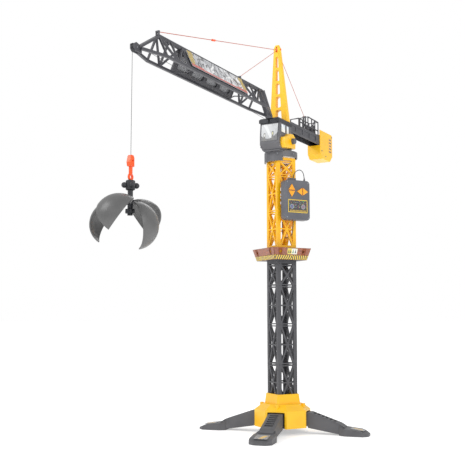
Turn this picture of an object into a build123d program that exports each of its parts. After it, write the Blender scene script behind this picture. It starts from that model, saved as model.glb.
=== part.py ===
from build123d import *
import math
import os

# Frame: millimetres, +Z up, origin on the mast axis at floor level, +X along the boom, +Y the
# side of the crane that carries the handset. The stand is drawn square and then turned about Z.
STAND_YAW = -33.0

# Base hub and legs
HUB_APOTHEM = 66.0
HUB_BOTTOM = 16.0
HUB_SHOULDER = 58.0
HUB_TOP = 72.0
HUB_WALL = 3.0
COLLAR_FOOT = 70.0
COLLAR_WIDTH = 62.0
COLLAR_TOP = 96.0
SHOULDER_APOTHEM = 47.0
FLOOR_PLATE = 3.0
SLOT_WIDTH = 44.0
SLOT_TOP = 55.0
NUB_RADIUS = 5.0
NUB_OFFSET = 56.0
BOSS_RADIUS = 4.0
BOSS_OFFSET = 47.0
SCREW_RADIUS = 1.5
SCREW_LENGTH = 14.0
SCREW_HEAD_RADIUS = 2.9
SCREW_HEAD_HEIGHT = 2.0
LEG_WIDTH = 36.0
LEG_ROOT = 42.0
LEG_TOP = 52.5
LEG_RUNGS = 6
LEG_RUNG_PITCH = 10.0
FOOT_START = 146.0
FOOT_END = 218.0
FOOT_WIDTH = 55.0
PIN_RADIUS = 2.6
PIN_OFFSET = 50.0

# Lattice mast
MAST_WIDTH = 55.0
MAST_WALL = 5.0
COLUMN_WIDTH = 9.5
MAST_BOTTOM = 76.0
MAST_JOINT = 448.0
MAST_TOP = 697.0
LOWER_CELLS = [(84.0, 173.0), (173.0, 272.0), (272.0, 371.0), (371.0, 426.0)]
UPPER_CELLS = [(470.0, 562.0), (562.0, 654.0), (654.0, 693.0)]
CENTRE_BAR = 3.2
TALL_CELL = 60.0
RUNG_HEIGHT = 8.0
RUNG_BAR = 2.4
DIAGONAL_BAR = 4.2
NODE_RADIUS = 4.6
SLEEVE_HALF_HEIGHT = 22.0
SLEEVE_WALL = 2.4

# Walkway tray
TRAY_BOTTOM = 432.0
TRAY_TOP = 462.0
TRAY_LOW_WIDTH = 94.0
TRAY_HIGH_WIDTH = 110.0
TRAY_WALL = 2.4
TRAY_FLOOR = 3.0
TRAY_HOLE_RADIUS = 3.8
TRAY_HOLE_OFFSET = 33.0

# Slewing head
HEAD_RADIUS = 37.0
HEAD_DISC = 4.0
POST_RADIUS = 9.0
POST_BORE = 6.0
POST_TOP = 714.2
RING_MODULE = 1.0
RING_TEETH = 48
PINION_TEETH = 12
GEAR_SLACK = 0.55
RETAINER_RADIUS = 14.0
TURNTABLE_RADIUS = 43.0
TURNTABLE_WALL = 2.9
TURNTABLE_TOP = 714.0
DECK_BOTTOM = 709.0
DECK_THICKNESS = 3.0
LOBE_BOTTOM = 687.0
MOTOR_RADIUS = 10.0
MOTOR_LENGTH = 30.0

# Cab
CAB_REAR = -8.0
CAB_FRONT = 67.0
CAB_HALF_WIDTH = 27.5
CAB_BOTTOM = 714.0
CAB_ROOF = 782.0
CAB_TOP = 794.0
CAB_WALL = 2.2
PANE = 1.2
PANE_SILL = 18.0
PANE_HEIGHT = 46.0
WINCH_X = 15.0
DRUM_Z = 769.2
KNOB_Z = 738.0
DRUM_RADIUS = 8.0
DRUM_HALF_LENGTH = 11.0
DRUM_TEETH = 31
KNOB_TEETH = 30
WINCH_MODULE = 1.0

# Tower peak
PEAK_BASE_X = 4.0
PEAK_TOP_X = 16.0
PEAK_DEPTH = 16.0
PEAK_TOP_DEPTH = 11.0
PEAK_HALF_BASE = 26.0
PEAK_HALF_TOP = 8.5
PEAK_SLOT_BASE = 9.0
PEAK_SLOT_TOP = 3.2
PEAK_FOOT = 794.0
PEAK_TOP = 1000.0
PEAK_SLOTS = 5
PEAK_PIN_Z = 988.0

# Boom
RIDGE_Z = 853.0
CHORD_Z = 806.0
CHORD_Y = 25.0
RIDGE_START = 108.0
RIDGE_END = 556.0
CHORD_START = 128.0
CHORD_END = 556.0
TIP_X = 625.0
NEAR_EYE_X = 221.0
ROOT_X = 72.0
CHORD_BAR = 5.5
RIDGE_BAR = 8.0
LACE_BAR = 3.8
SIGN_START = 228.0
SIGN_END = 468.0
SIGN_THICKNESS = 1.4
PULLEY_X = 631.0
PULLEY_Z = 806.0
PULLEY_RADIUS = 7.0
CORD_X = 638.2

# Counter-jib
JIB_START = -8.2
TONGUE_END = -44.0
JIB_END = -270.0
JIB_HALF_WIDTH = 17.0
JIB_TOP = 804.0
JIB_HEIGHT = 28.0
JIB_WALL = 3.0
RAIL_Y = 14.0
RAIL_BAR = 2.4
RAIL_LOW = 826.0
RAIL_HIGH = 842.0
STAY_X = -150.0
WEIGHT_START = -215.0
WEIGHT_END = -300.0
WEIGHT_HALF_WIDTH = 21.0
WEIGHT_BOTTOM = 738.0
WEIGHT_TOP = 820.0
WEIGHT_WALL = 2.6

# Handset, on the stand's +Y face
HANDSET_X = -15.0
HANDSET_BACK = 34.0
HANDSET_FRONT = 58.0
HANDSET_WIDTH = 73.0
HANDSET_BOTTOM = 533.0
HANDSET_TOP = 635.0
HANDSET_WALL = 2.0
HANDSET_SPLIT = 45.0
BUTTON_SIDE = 19.0
BUTTON_GAP = 0.35
BUTTON_PROUD = 2.2
CABLE_RADIUS = 1.0
HANK_BOTTOM = 562.0
HANK_TOP = 618.0
HANK_WIDTH = 20.0
HANK_DEPTH = 21.0

# Hoist and grab
HOIST_CORD_RADIUS = 0.45
HOOK_TOP = 594.0
HOOK_NECK = 572.0
HOOK_BOTTOM = 546.0
HUB_GRAB_BOTTOM = 527.0
COLUMN_BOTTOM = 479.0
PETAL_RADIUS = 46.0
PETAL_SHELL = 2.2
PETAL_HINGE_R = 14.0
PETAL_HINGE_Z = 505.0
PETAL_ANGLES = (56.0, 12.0, 58.0, 43.0)
PETAL_HALF_ANGLE = 44.0
GRAB_YAW = 10.0

os.makedirs("parts", exist_ok=True)


def save(name, shape):
    """Writes one node, checks that it is one or more good solids and prints its volume."""
    solids = shape.solids()
    assert solids and all(s.is_valid for s in solids), name
    export_step(Compound(children=list(solids)), f"parts/{name}.step")
    print(name, len(solids), round(sum(s.volume for s in solids)))


def joined(*shapes):
    """Several separate solids as one node."""
    return Compound(children=[solid for shape in shapes for solid in shape.solids()])


def block(x0, x1, y0, y1, z0, z1):
    """A box given by its limits."""
    size = (abs(x1 - x0), abs(y1 - y0), abs(z1 - z0))
    return Pos((x0 + x1) / 2, (y0 + y1) / 2, (z0 + z1) / 2) * Box(*size)


def post(x, y, z0, z1, radius):
    """An upright cylinder."""
    return Pos(x, y, (z0 + z1) / 2) * Cylinder(radius, z1 - z0)


def axle(x, y0, y1, z, radius):
    """A cylinder along Y."""
    return Pos(x, (y0 + y1) / 2, z) * Rot(90, 0, 0) * Cylinder(radius, abs(y1 - y0))


def rod(start, end, radius):
    """A round rod between two points."""
    direction = Vector(*end) - Vector(*start)
    place = Plane(origin=start, z_dir=direction)
    return extrude(place * Circle(radius), direction.length)


def strut(start, end, width, depth, across=(0, 1, 0)):
    """A rectangular bar between two points, its width measured along `across`."""
    direction = Vector(*end) - Vector(*start)
    place = Plane(origin=start, x_dir=across, z_dir=direction)
    return extrude(place * Rectangle(width, depth), direction.length)


def outline(points, plane, depth, both=False):
    """A flat plate with the given corners."""
    face = plane * make_face(Polyline(*points, close=True))
    return extrude(face, depth, both=both)


def stand(shape):
    """Turns a piece of the stand from its own square frame to its place under the boom."""
    return Rot(0, 0, STAND_YAW) * shape


def gear(teeth, module, thickness, bore):
    """A spur gear lying in XY, with straight-sided teeth cut thin for slack."""
    pitch = teeth * module / 2
    points = []
    for i in range(teeth):
        turn = 2 * math.pi * i / teeth
        step = 2 * math.pi / teeth
        for radius, share in ((-1.1, -0.27), (0.8, -0.1), (0.8, 0.1), (-1.1, 0.27)):
            angle = turn + share * step
            reach = pitch + radius * module
            points.append((reach * math.cos(angle), reach * math.sin(angle)))
    body = extrude(make_face(Polyline(*points, close=True)), thickness)
    return body - Pos(0, 0, thickness / 2) * Cylinder(bore, thickness * 2)


# ---------------------------------------------------------------- base


def octagon(apothem, z):
    """A flat-sided octagon at a height, with sides square to the axes and the diagonals."""
    return Pos(0, 0, z) * RegularPolygon(apothem / math.cos(math.pi / 8), 8, rotation=22.5)


def around(shape, count=4, first=45.0):
    """Copies a piece that lies along +X to evenly spaced directions about Z."""
    return [Rot(0, 0, first + 360 / count * i) * shape for i in range(count)]


def base_shell():
    """The yellow hub: an eight-sided cover with a slot for each leg and a square collar."""
    body = extrude(octagon(HUB_APOTHEM, HUB_BOTTOM), HUB_SHOULDER - HUB_BOTTOM)
    body = fillet(body.edges().filter_by(Axis.Z), 2.0)
    shoulder = loft([octagon(HUB_APOTHEM - 0.4, HUB_SHOULDER).face(), octagon(SHOULDER_APOTHEM, HUB_TOP).face()])
    low = Pos(0, 0, HUB_SHOULDER + 4) * RectangleRounded(COLLAR_FOOT, COLLAR_FOOT, 5)
    high = Pos(0, 0, COLLAR_TOP) * RectangleRounded(COLLAR_WIDTH, COLLAR_WIDTH, 3.5)
    collar = loft([low.face(), high.face()])
    body = body + shoulder + collar
    for nub in around(post(NUB_OFFSET - 2, 0, HUB_SHOULDER - 2, HUB_TOP + 1, NUB_RADIUS)):
        body += nub
    inner = extrude(octagon(HUB_APOTHEM - HUB_WALL, HUB_BOTTOM - 1), HUB_SHOULDER - HUB_BOTTOM - 1)
    throat = block(-24, 24, -24, 24, HUB_SHOULDER - 8, COLLAR_TOP + 1)
    pocket = MAST_WIDTH + 0.3
    socket = Pos(0, 0, MAST_BOTTOM + 20) * Box(pocket, pocket, 40)
    body = body - inner - throat - socket
    for slot in around(block(52, 80, -SLOT_WIDTH / 2, SLOT_WIDTH / 2, HUB_BOTTOM - 1, SLOT_TOP)):
        body -= slot
    boss = post(BOSS_OFFSET, 0, HUB_BOTTOM + FLOOR_PLATE + 1.2, HUB_SHOULDER, BOSS_RADIUS)
    bore = post(BOSS_OFFSET, 0, HUB_BOTTOM, HUB_BOTTOM + SCREW_LENGTH + 6, SCREW_RADIUS + 0.03)
    for solid, hole in zip(around(boss, 4, 0), around(bore, 4, 0)):
        body = body + solid - hole
    return body


def base_floor():
    """The plate that closes the hub from below and carries the leg roots."""
    z = HUB_BOTTOM + 1
    plate = extrude(octagon(HUB_APOTHEM - HUB_WALL - 0.2, z), FLOOR_PLATE)
    plate -= post(0, 0, z - 1, z + FLOOR_PLATE + 1, 14)
    for hole in around(post(BOSS_OFFSET, 0, z - 1, z + FLOOR_PLATE + 1, SCREW_RADIUS + 0.15), 4, 0):
        plate -= hole
    for hole in around(post(PIN_OFFSET, 0, z - 1, z + FLOOR_PLATE + 1, PIN_RADIUS + 0.1)):
        plate -= hole
    return plate


def base_screws():
    """Four self-tapping screws from below into the hub's bosses."""
    z = HUB_BOTTOM + 1
    shank = post(BOSS_OFFSET, 0, z - 0.2, z + SCREW_LENGTH, SCREW_RADIUS)
    head = post(BOSS_OFFSET, 0, z - SCREW_HEAD_HEIGHT, z, SCREW_HEAD_RADIUS)
    cross = Pos(BOSS_OFFSET, 0, z - SCREW_HEAD_HEIGHT) * Box(3.4, 0.8, 1.6)
    one = shank + head - cross - Pos(BOSS_OFFSET, 0, z - SCREW_HEAD_HEIGHT) * Box(0.8, 3.4, 1.6)
    return Compound(children=[s.solid() for s in around(one, 4, 0)])


def leg():
    """One leg along +X: a tongue in the hub, a sloping beam and a wide flat foot."""
    side = [(LEG_ROOT, 21), (67, 21), (70, 15), (FOOT_START, 3), (FOOT_START + 14, 3), (FOOT_START + 14, 20)]
    side += [(FOOT_START + 2, 28), (76, LEG_TOP), (LEG_ROOT, LEG_TOP)]
    beam = outline(side, Plane.XZ, LEG_WIDTH / 2, both=True)
    beam = chamfer(beam.edges().filter_by(lambda e: e.center().Z > 27 and e.length > 40), 2.0)
    pocket = [(80, -2), (80, 44.6), (FOOT_START - 4, 22), (FOOT_START - 4, -2)]
    beam -= outline(pocket, Plane.XZ, LEG_WIDTH / 2 - 2.6, both=True)
    slope = math.degrees(math.atan2(LEG_TOP - 28, FOOT_START + 2 - 76))
    for i in range(LEG_RUNGS):
        x = 84 + LEG_RUNG_PITCH * i
        z = LEG_TOP - (x - 76) * math.tan(math.radians(slope))
        beam -= Pos(x, 0, z) * Rot(0, slope, 0) * Box(6.4, 21, 5.4)
    beam -= post(PIN_OFFSET, 0, 20, HUB_SHOULDER - 6, PIN_RADIUS + 0.1)
    half = FOOT_WIDTH / 2
    plan = [(FOOT_START, -19), (FOOT_START + 16, -half), (FOOT_END - 12, -half), (FOOT_END, -half + 13)]
    plan += [(x, -y) for x, y in reversed(plan)]
    profile = [(FOOT_START, 0), (FOOT_END, 0), (FOOT_END, 5), (FOOT_END - 20, 13.5), (FOOT_START + 12, 18)]
    profile += [(FOOT_START, 24)]
    foot = outline(plan, Plane.XY, 30) & outline(profile, Plane.XZ, FOOT_WIDTH, both=True)
    foot -= Pos(FOOT_START + 44, 0, 15.2) * Rot(0, 7.5, 0) * Box(34, 34, 1.6)
    return beam + foot


def leg_pins():
    """The four plug pins that lock the leg roots to the hub floor."""
    pin = post(PIN_OFFSET, 0, HUB_BOTTOM + 0.9, HUB_SHOULDER - 8, PIN_RADIUS)
    head = post(PIN_OFFSET, 0, HUB_BOTTOM - 3, HUB_BOTTOM + 1, PIN_RADIUS + 1.6)
    return Compound(children=[s.solid() for s in around(pin + head)])


# ---------------------------------------------------------------- mast


def lattice_panel(bottom, top, cells, width):
    """A flat lattice of crossed diagonals, centre bars and twin rungs, in XZ and centred on X."""
    half = MAST_WIDTH / 2 - COLUMN_WIDTH
    sheet = Pos(0, (bottom + top) / 2) * Rectangle(width, top - bottom)
    for low, end in cells:
        high = end - RUNG_HEIGHT
        middle = (low + high) / 2
        window = Pos(0, middle) * RectangleRounded(2 * half, high - low, 2.5)
        length = math.hypot(2 * half, high - low) + 4
        lean = math.degrees(math.atan2(high - low, 2 * half))
        cross = Pos(0, middle) * Rot(0, 0, lean) * Rectangle(length, DIAGONAL_BAR)
        cross += Pos(0, middle) * Rot(0, 0, -lean) * Rectangle(length, DIAGONAL_BAR)
        cross += Pos(0, middle) * Circle(NODE_RADIUS)
        if high - low > TALL_CELL:
            cross += Pos(0, middle) * Rectangle(2 * half + 2, CENTRE_BAR)
        sheet -= window - cross
        slot = RUNG_HEIGHT - 2 * RUNG_BAR
        sheet -= Pos(0, high + RUNG_HEIGHT / 2) * SlotOverall(2 * half - 3, slot)
    return sheet


def mast_half(bottom, top, cells, turn):
    """Two lattice walls that meet at a corner: one full-width wall and one between walls."""
    wide = lattice_panel(bottom, top, cells, MAST_WIDTH)
    narrow = lattice_panel(bottom, top, cells, MAST_WIDTH - 2 * MAST_WALL)
    front = extrude(Plane((0, MAST_WIDTH / 2, 0), x_dir=(-1, 0, 0), z_dir=(0, 1, 0)) * wide, -MAST_WALL)
    side = extrude(Plane((-MAST_WIDTH / 2, 0, 0), x_dir=(0, -1, 0), z_dir=(-1, 0, 0)) * narrow, -MAST_WALL)
    return Rot(0, 0, turn) * (front + side)


def square_tube(width, wall, z0, z1):
    """A plain square tube."""
    outer = Pos(0, 0, (z0 + z1) / 2) * Box(width, width, z1 - z0)
    return outer - Pos(0, 0, (z0 + z1) / 2) * Box(width - 2 * wall, width - 2 * wall, z1 - z0 + 2)


def mast_sleeve():
    """The square sleeve inside the mast that joins the lower and upper lattice."""
    inner = MAST_WIDTH - 2 * MAST_WALL - 0.1
    return square_tube(inner, SLEEVE_WALL, MAST_JOINT - SLEEVE_HALF_HEIGHT, MAST_JOINT + SLEEVE_HALF_HEIGHT)


def walkway_floor():
    """The square plate that the walkway stands on, threaded by the mast."""
    hole = MAST_WIDTH + 0.3
    width = TRAY_LOW_WIDTH - 2 * TRAY_WALL - 1.6
    plate = Pos(0, 0, TRAY_BOTTOM + TRAY_FLOOR / 2) * Box(width, width, TRAY_FLOOR)
    rim = square_tube(hole + 5, 2.5, TRAY_BOTTOM + TRAY_FLOOR - 0.1, TRAY_BOTTOM + 12)
    return plate + rim - Pos(0, 0, TRAY_BOTTOM + 5) * Box(hole, hole, 30)


def walkway_wall():
    """The flared parapet of the walkway with two round holes in each face."""
    span = TRAY_TOP - TRAY_BOTTOM
    low = Pos(0, 0, TRAY_BOTTOM) * Rectangle(TRAY_LOW_WIDTH, TRAY_LOW_WIDTH)
    high = Pos(0, 0, TRAY_TOP) * Rectangle(TRAY_HIGH_WIDTH, TRAY_HIGH_WIDTH)
    thin = 2 * TRAY_WALL
    flare = (TRAY_HIGH_WIDTH - TRAY_LOW_WIDTH) / span
    in_low = Pos(0, 0, TRAY_BOTTOM - 1) * Rectangle(TRAY_LOW_WIDTH - thin - flare, TRAY_LOW_WIDTH - thin - flare)
    in_high = Pos(0, 0, TRAY_TOP + 1) * Rectangle(TRAY_HIGH_WIDTH - thin + flare, TRAY_HIGH_WIDTH - thin + flare)
    ring = loft([low.face(), high.face()]) - loft([in_low.face(), in_high.face()])
    for x in (-TRAY_HOLE_OFFSET, TRAY_HOLE_OFFSET):
        hole = Pos(x, 0, TRAY_BOTTOM + 20) * Rot(90, 0, 0) * Cylinder(TRAY_HOLE_RADIUS, 200)
        ring = ring - hole - Rot(0, 0, 90) * hole
    return ring


def mast_head():
    """The fixed head: a plug in the mast, a disc, the ring gear and the hollow pivot post."""
    inner = MAST_WIDTH - 2 * MAST_WALL - 0.2
    plug = square_tube(inner, 3, MAST_TOP - 14, MAST_TOP + 0.5)
    disc = post(0, 0, MAST_TOP, MAST_TOP + HEAD_DISC, HEAD_RADIUS)
    shaft = post(0, 0, MAST_TOP + 1, POST_TOP, POST_RADIUS)
    ring = Pos(0, 0, MAST_TOP + HEAD_DISC - 0.1) * Rot(0, 0, -STAND_YAW) * gear(RING_TEETH, RING_MODULE, 6, POST_RADIUS - 1)
    return plug + disc + shaft + ring - post(0, 0, MAST_TOP - 5, POST_TOP + 5, POST_BORE)


def slew_retainer():
    """The washer, plugged in the pivot post, that holds the turntable down."""
    flange = post(0, 0, POST_TOP + 0.02, POST_TOP + 2.4, RETAINER_RADIUS)
    plug = post(0, 0, POST_TOP - 8, POST_TOP + 0.5, POST_BORE - 0.05)
    return flange + plug - post(0, 0, POST_TOP - 12, POST_TOP + 6, POST_BORE - 2.5)


# ---------------------------------------------------------------- turntable and cab


def pinion_radius():
    """Distance of the slewing pinion from the mast axis."""
    return (RING_TEETH + PINION_TEETH) * RING_MODULE / 2 + GEAR_SLACK


def turntable_housing():
    """The round skirt and deck that turn on the pivot post, with a drop lobe under the cab."""
    inner = TURNTABLE_RADIUS - TURNTABLE_WALL
    skirt = post(0, 0, MAST_TOP + 1.5, TURNTABLE_TOP, TURNTABLE_RADIUS)
    lobe = post(0, 0, LOBE_BOTTOM, TURNTABLE_TOP, TURNTABLE_RADIUS) & block(10, 60, -60, 22, 600, 800)
    body = fillet((skirt + lobe).faces().sort_by(Axis.Z)[-1].edges(), 1.5)
    body -= post(0, 0, LOBE_BOTTOM - 1, DECK_BOTTOM, inner)
    body -= post(0, 0, DECK_BOTTOM - 5, DECK_BOTTOM + 8, POST_RADIUS + 0.1)
    body -= post(pinion_radius(), 0, DECK_BOTTOM - 5, TURNTABLE_TOP + 1, MOTOR_RADIUS + 0.3)
    lid = block(CAB_REAR + 1, CAB_FRONT - 14, -24, 24, TURNTABLE_TOP - 3, TURNTABLE_TOP)
    lid -= post(0, 0, 700, 740, POST_RADIUS + 0.1)
    lid -= post(pinion_radius(), 0, 700, 740, MOTOR_RADIUS + 0.3)
    ledge = post(pinion_radius(), 0, DECK_BOTTOM, DECK_BOTTOM + 2, MOTOR_RADIUS + 1)
    ledge -= post(pinion_radius(), 0, DECK_BOTTOM - 1, DECK_BOTTOM + 5, 3.0)
    cut = post(0, 0, DECK_BOTTOM - 1, DECK_BOTTOM + 5, POST_RADIUS + 0.1)
    return body + lid + (ledge - cut)


def cab_outline(inset):
    """Side view of the cab in XZ, drawn in by an even wall."""
    low, high = CAB_BOTTOM, CAB_ROOF
    rear, front = CAB_REAR + inset, CAB_FRONT - inset
    corners = [(rear, low + inset), (front - 16, low + inset), (front, low + 14 + inset / 2)]
    corners += [(front, low + PANE_SILL), (front - 6, high + (1 if inset else 0)), (rear, high + (1 if inset else 0))]
    return corners


def cab_shell():
    """The grey cab body, open under the roof, with shallow beds for the window panes."""
    body = outline(cab_outline(0), Plane.XZ, CAB_HALF_WIDTH, both=True)
    body = chamfer(body.edges().filter_by(Axis.Z).sort_by(Axis.X)[-2:], 2.0)
    body -= outline(cab_outline(CAB_WALL), Plane.XZ, CAB_HALF_WIDTH - CAB_WALL, both=True)
    for pane in (windscreen(), side_windows()):
        body -= pane
    body -= post(pinion_radius(), 0, 700, CAB_BOTTOM + 10, MOTOR_RADIUS + 0.3)
    body -= post(0, 0, 700, CAB_BOTTOM + 10, RETAINER_RADIUS + 1.5)
    body -= axle(WINCH_X, 0, 60, KNOB_Z, 3.1)
    body -= axle(WINCH_X, -60, 60, DRUM_Z, 2.6)
    half = JIB_HALF_WIDTH - JIB_WALL - 0.2
    under = JIB_TOP - JIB_HEIGHT - 10
    tongue = block(TONGUE_END, CAB_REAR + 0.5, -half, half, under, CAB_ROOF - 0.1)
    tongue += block(TONGUE_END, JIB_START - 0.4, -half, half, CAB_ROOF - 2, JIB_TOP - JIB_WALL - 0.2)
    tongue -= block(TONGUE_END - 1, JIB_START - 4, -half + 3, half - 3, under - 1, JIB_TOP - JIB_WALL - 3.2)
    return body + tongue


def windscreen():
    """The front pane, leaning back with the cab front."""
    lean = math.degrees(math.atan2(6, CAB_ROOF - CAB_BOTTOM - PANE_SILL))
    rise = PANE_HEIGHT / 2 + 1.5
    x = CAB_FRONT - rise * math.tan(math.radians(lean))
    return Pos(x - PANE / 2, 0, CAB_BOTTOM + PANE_SILL + rise) * Rot(0, -lean, 0) * Box(PANE, 48, PANE_HEIGHT)


def side_windows():
    """Two panes in each side of the cab."""
    panes = []
    for side in (-1, 1):
        y = side * (CAB_HALF_WIDTH - PANE / 2)
        for x0, x1 in ((28, 54), (8, 23)):
            corner = block(x0, x1, y - PANE / 2, y + PANE / 2, CAB_ROOF - 25, CAB_ROOF - 2)
            panes.append(corner.solid())
    return Compound(children=panes)


def cab_roof():
    """The dark roof cap, with the peak's seat and the slot where the hoist cord comes in."""
    cap = block(CAB_REAR - 4, CAB_FRONT + 0.5, -CAB_HALF_WIDTH - 1, CAB_HALF_WIDTH + 1, CAB_ROOF, CAB_TOP)
    cap = chamfer(cap.edges().group_by(Axis.Z)[-1], 3.5)
    cap -= block(CAB_REAR + 2, CAB_FRONT - 12, -22, 22, CAB_ROOF - 1, CAB_TOP - 3)
    cap -= block(40, 80, -2, 2, CAB_ROOF - 1, CAB_ROOF + 9)
    return cap - block(-60, JIB_START + 0.1, -60, 60, CAB_ROOF - 5, JIB_TOP + 0.1)


def winch_cover():
    """The yellow winch cover on the near side of the cab."""
    y = CAB_HALF_WIDTH
    shape = [(-8, 722), (50, 717), (58, 729), (56, 743), (38, 748), (24, 757), (4, 759), (-8, 751)]
    body = outline(shape, Plane((0, y, 0), x_dir=(1, 0, 0), z_dir=(0, -1, 0)), -12)
    body = chamfer(body.faces().sort_by(Axis.Y)[-1].edges(), 2.0)
    inner = [(-5, 725), (49, 720), (54.5, 729), (53, 741), (37, 745), (23, 754), (4, 756), (-5, 749)]
    body -= outline(inner, Plane((0, y - 1, 0), x_dir=(1, 0, 0), z_dir=(0, -1, 0)), -10.6)
    ring = axle(WINCH_X, y + 8, y + 13.5, KNOB_Z, 9.5)
    return body + ring - axle(WINCH_X, y - 2, y + 20, KNOB_Z, 3.1)


def winch_knob():
    """The round knob and shaft that turn the winch by hand."""
    y = CAB_HALF_WIDTH
    shaft = axle(WINCH_X, 12, y + 15, KNOB_Z, 3.0)
    knob = axle(WINCH_X, y + 14, y + 22, KNOB_Z, 7.5)
    knob = chamfer(knob.faces().sort_by(Axis.Y)[-1].edges(), 1.2)
    for i in range(10):
        angle = 2 * math.pi * i / 10
        knob -= axle(WINCH_X + 8 * math.cos(angle), y + 13, y + 23, KNOB_Z + 8 * math.sin(angle), 1.1)
    wheel = Pos(WINCH_X, 18, KNOB_Z) * Rot(90, 0, 0) * gear(KNOB_TEETH, WINCH_MODULE, 5, 2.0)
    return shaft + knob + wheel


def winch_drum():
    """The cord drum with its gear, which the knob's wheel and the motor turn."""
    core = axle(WINCH_X, -DRUM_HALF_LENGTH, DRUM_HALF_LENGTH, DRUM_Z, DRUM_RADIUS)
    for y in (-DRUM_HALF_LENGTH, DRUM_HALF_LENGTH - 1.6):
        core += axle(WINCH_X, y, y + 1.6, DRUM_Z, DRUM_RADIUS + 3)
    reach = CAB_HALF_WIDTH - PANE - 0.1
    pins = axle(WINCH_X, -reach, reach, DRUM_Z, 2.5)
    phase = 270 % (360 / DRUM_TEETH)
    wheel = Pos(WINCH_X, 18, DRUM_Z) * Rot(90, 0, 0) * Rot(0, 0, phase) * gear(DRUM_TEETH, WINCH_MODULE, 5, 2.0)
    return core + pins + wheel


def motor(x, y, z, length):
    """A small can motor standing up."""
    can = post(x, y, z, z + length, MOTOR_RADIUS)
    can = chamfer(can.faces().sort_by(Axis.Z)[-1].edges(), 1.0)
    return can + post(x, y, z + length - 0.5, z + length + 2, 3.5)


def motors():
    """The slewing motor over its pinion and the hoist motor beside it, both in the cab."""
    slew = motor(pinion_radius(), 0, DECK_BOTTOM + 2.05, MOTOR_LENGTH)
    hoist = Pos(46, 0, DRUM_Z - 4) * Rot(90, 0, 0) * motor(0, 0, -18, MOTOR_LENGTH)
    return Compound(children=[slew.solid(), hoist.solid()])


def slew_pinion():
    """The pinion that walks round the ring gear, on a short shaft."""
    wheel = Pos(pinion_radius(), 0, MAST_TOP + HEAD_DISC + 0.4) * Rot(0, 0, 180 - 15) * gear(PINION_TEETH, 1.0, 5, 1.0)
    shaft = post(pinion_radius(), 0, MAST_TOP + HEAD_DISC + 0.4, DECK_BOTTOM + 1.8, 2.0)
    return wheel + shaft


# ---------------------------------------------------------------- peak and pendants


def tower_peak():
    """The yellow A-shaped peak with a column of long slots between its two leaves."""
    low = Pos(PEAK_BASE_X, 0, PEAK_FOOT) * RectangleRounded(PEAK_DEPTH, 2 * PEAK_HALF_BASE, 2)
    high = Pos(PEAK_TOP_X, 0, PEAK_TOP - 8) * RectangleRounded(PEAK_TOP_DEPTH, 2 * PEAK_HALF_TOP, 2)
    tip = Pos(PEAK_TOP_X, 0, PEAK_TOP) * RectangleRounded(PEAK_TOP_DEPTH - 4, 2 * PEAK_HALF_TOP - 7, 1.5)
    body = loft([low.face(), high.face()]) + loft([high.face(), tip.face()])
    bottom, top = PEAK_FOOT + 4, PEAK_TOP - 26
    pitch = (top - bottom) / PEAK_SLOTS
    for i in range(PEAK_SLOTS):
        z0, z1 = bottom + pitch * i, bottom + pitch * (i + 1) - 6
        share0, share1 = (z0 - bottom) / (top - bottom), (z1 - bottom) / (top - bottom)
        w0 = PEAK_SLOT_BASE + (PEAK_SLOT_TOP - PEAK_SLOT_BASE) * share0
        w1 = PEAK_SLOT_BASE + (PEAK_SLOT_TOP - PEAK_SLOT_BASE) * share1
        slot = outline([(-w0, z0), (w0, z0), (w1, z1), (-w1, z1)], Plane.YZ, 60, both=True)
        body -= fillet(slot.edges().filter_by(Axis.X), min(w1, w0) * 0.7)
    body -= axle(PEAK_TOP_X, -20, 20, PEAK_PIN_Z, 2.05)
    return body - block(PEAK_TOP_X - 20, PEAK_TOP_X + 20, -2.2, 2.2, PEAK_PIN_Z - 8, PEAK_PIN_Z + 8)


def peak_pin():
    """The orange pin through the top of the peak, with a cord roller in its middle."""
    pin = axle(PEAK_TOP_X, -PEAK_HALF_TOP - 2, PEAK_HALF_TOP + 2, PEAK_PIN_Z, 2.0)
    return pin + axle(PEAK_TOP_X, -2, 2, PEAK_PIN_Z, 5.5)


def pendant(start, end, radius, trim0, trim1):
    """A straight tie cord, cut back from the two points that it joins."""
    a, b = Vector(*start), Vector(*end)
    way = (b - a).normalized()
    return rod(tuple(a + way * trim0), tuple(b - way * trim1), radius)


def pendants():
    """The three orange tie cords from the peak to the boom tip, the boom root and the rear."""
    top = (PEAK_TOP_X, 0, PEAK_PIN_Z)
    far = pendant(top, (RIDGE_END, 0, RIDGE_Z + 9), 0.75, 5.5, 2.6)
    near = pendant(top, (NEAR_EYE_X, 0, RIDGE_Z + 6), 0.6, 5.5, 2.6)
    rear = pendant(top, (STAY_X, 0, RAIL_HIGH + 2), 0.6, 5.5, 2.6)
    return [far, near, rear]


def pendant_link():
    """The small clip on the long tie cord, at three fifths of its length from the peak."""
    top = Vector(PEAK_TOP_X, 0, PEAK_PIN_Z)
    end = Vector(RIDGE_END, 0, RIDGE_Z + 9)
    middle = top + (end - top) * 0.6
    place = Plane(origin=tuple(middle), z_dir=end - top)
    body = extrude(place * Circle(2.4), 7, both=True)
    body = chamfer(body.edges(), 0.6)
    return body - extrude(place * Circle(0.8), 10, both=True)


# ---------------------------------------------------------------- boom


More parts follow.
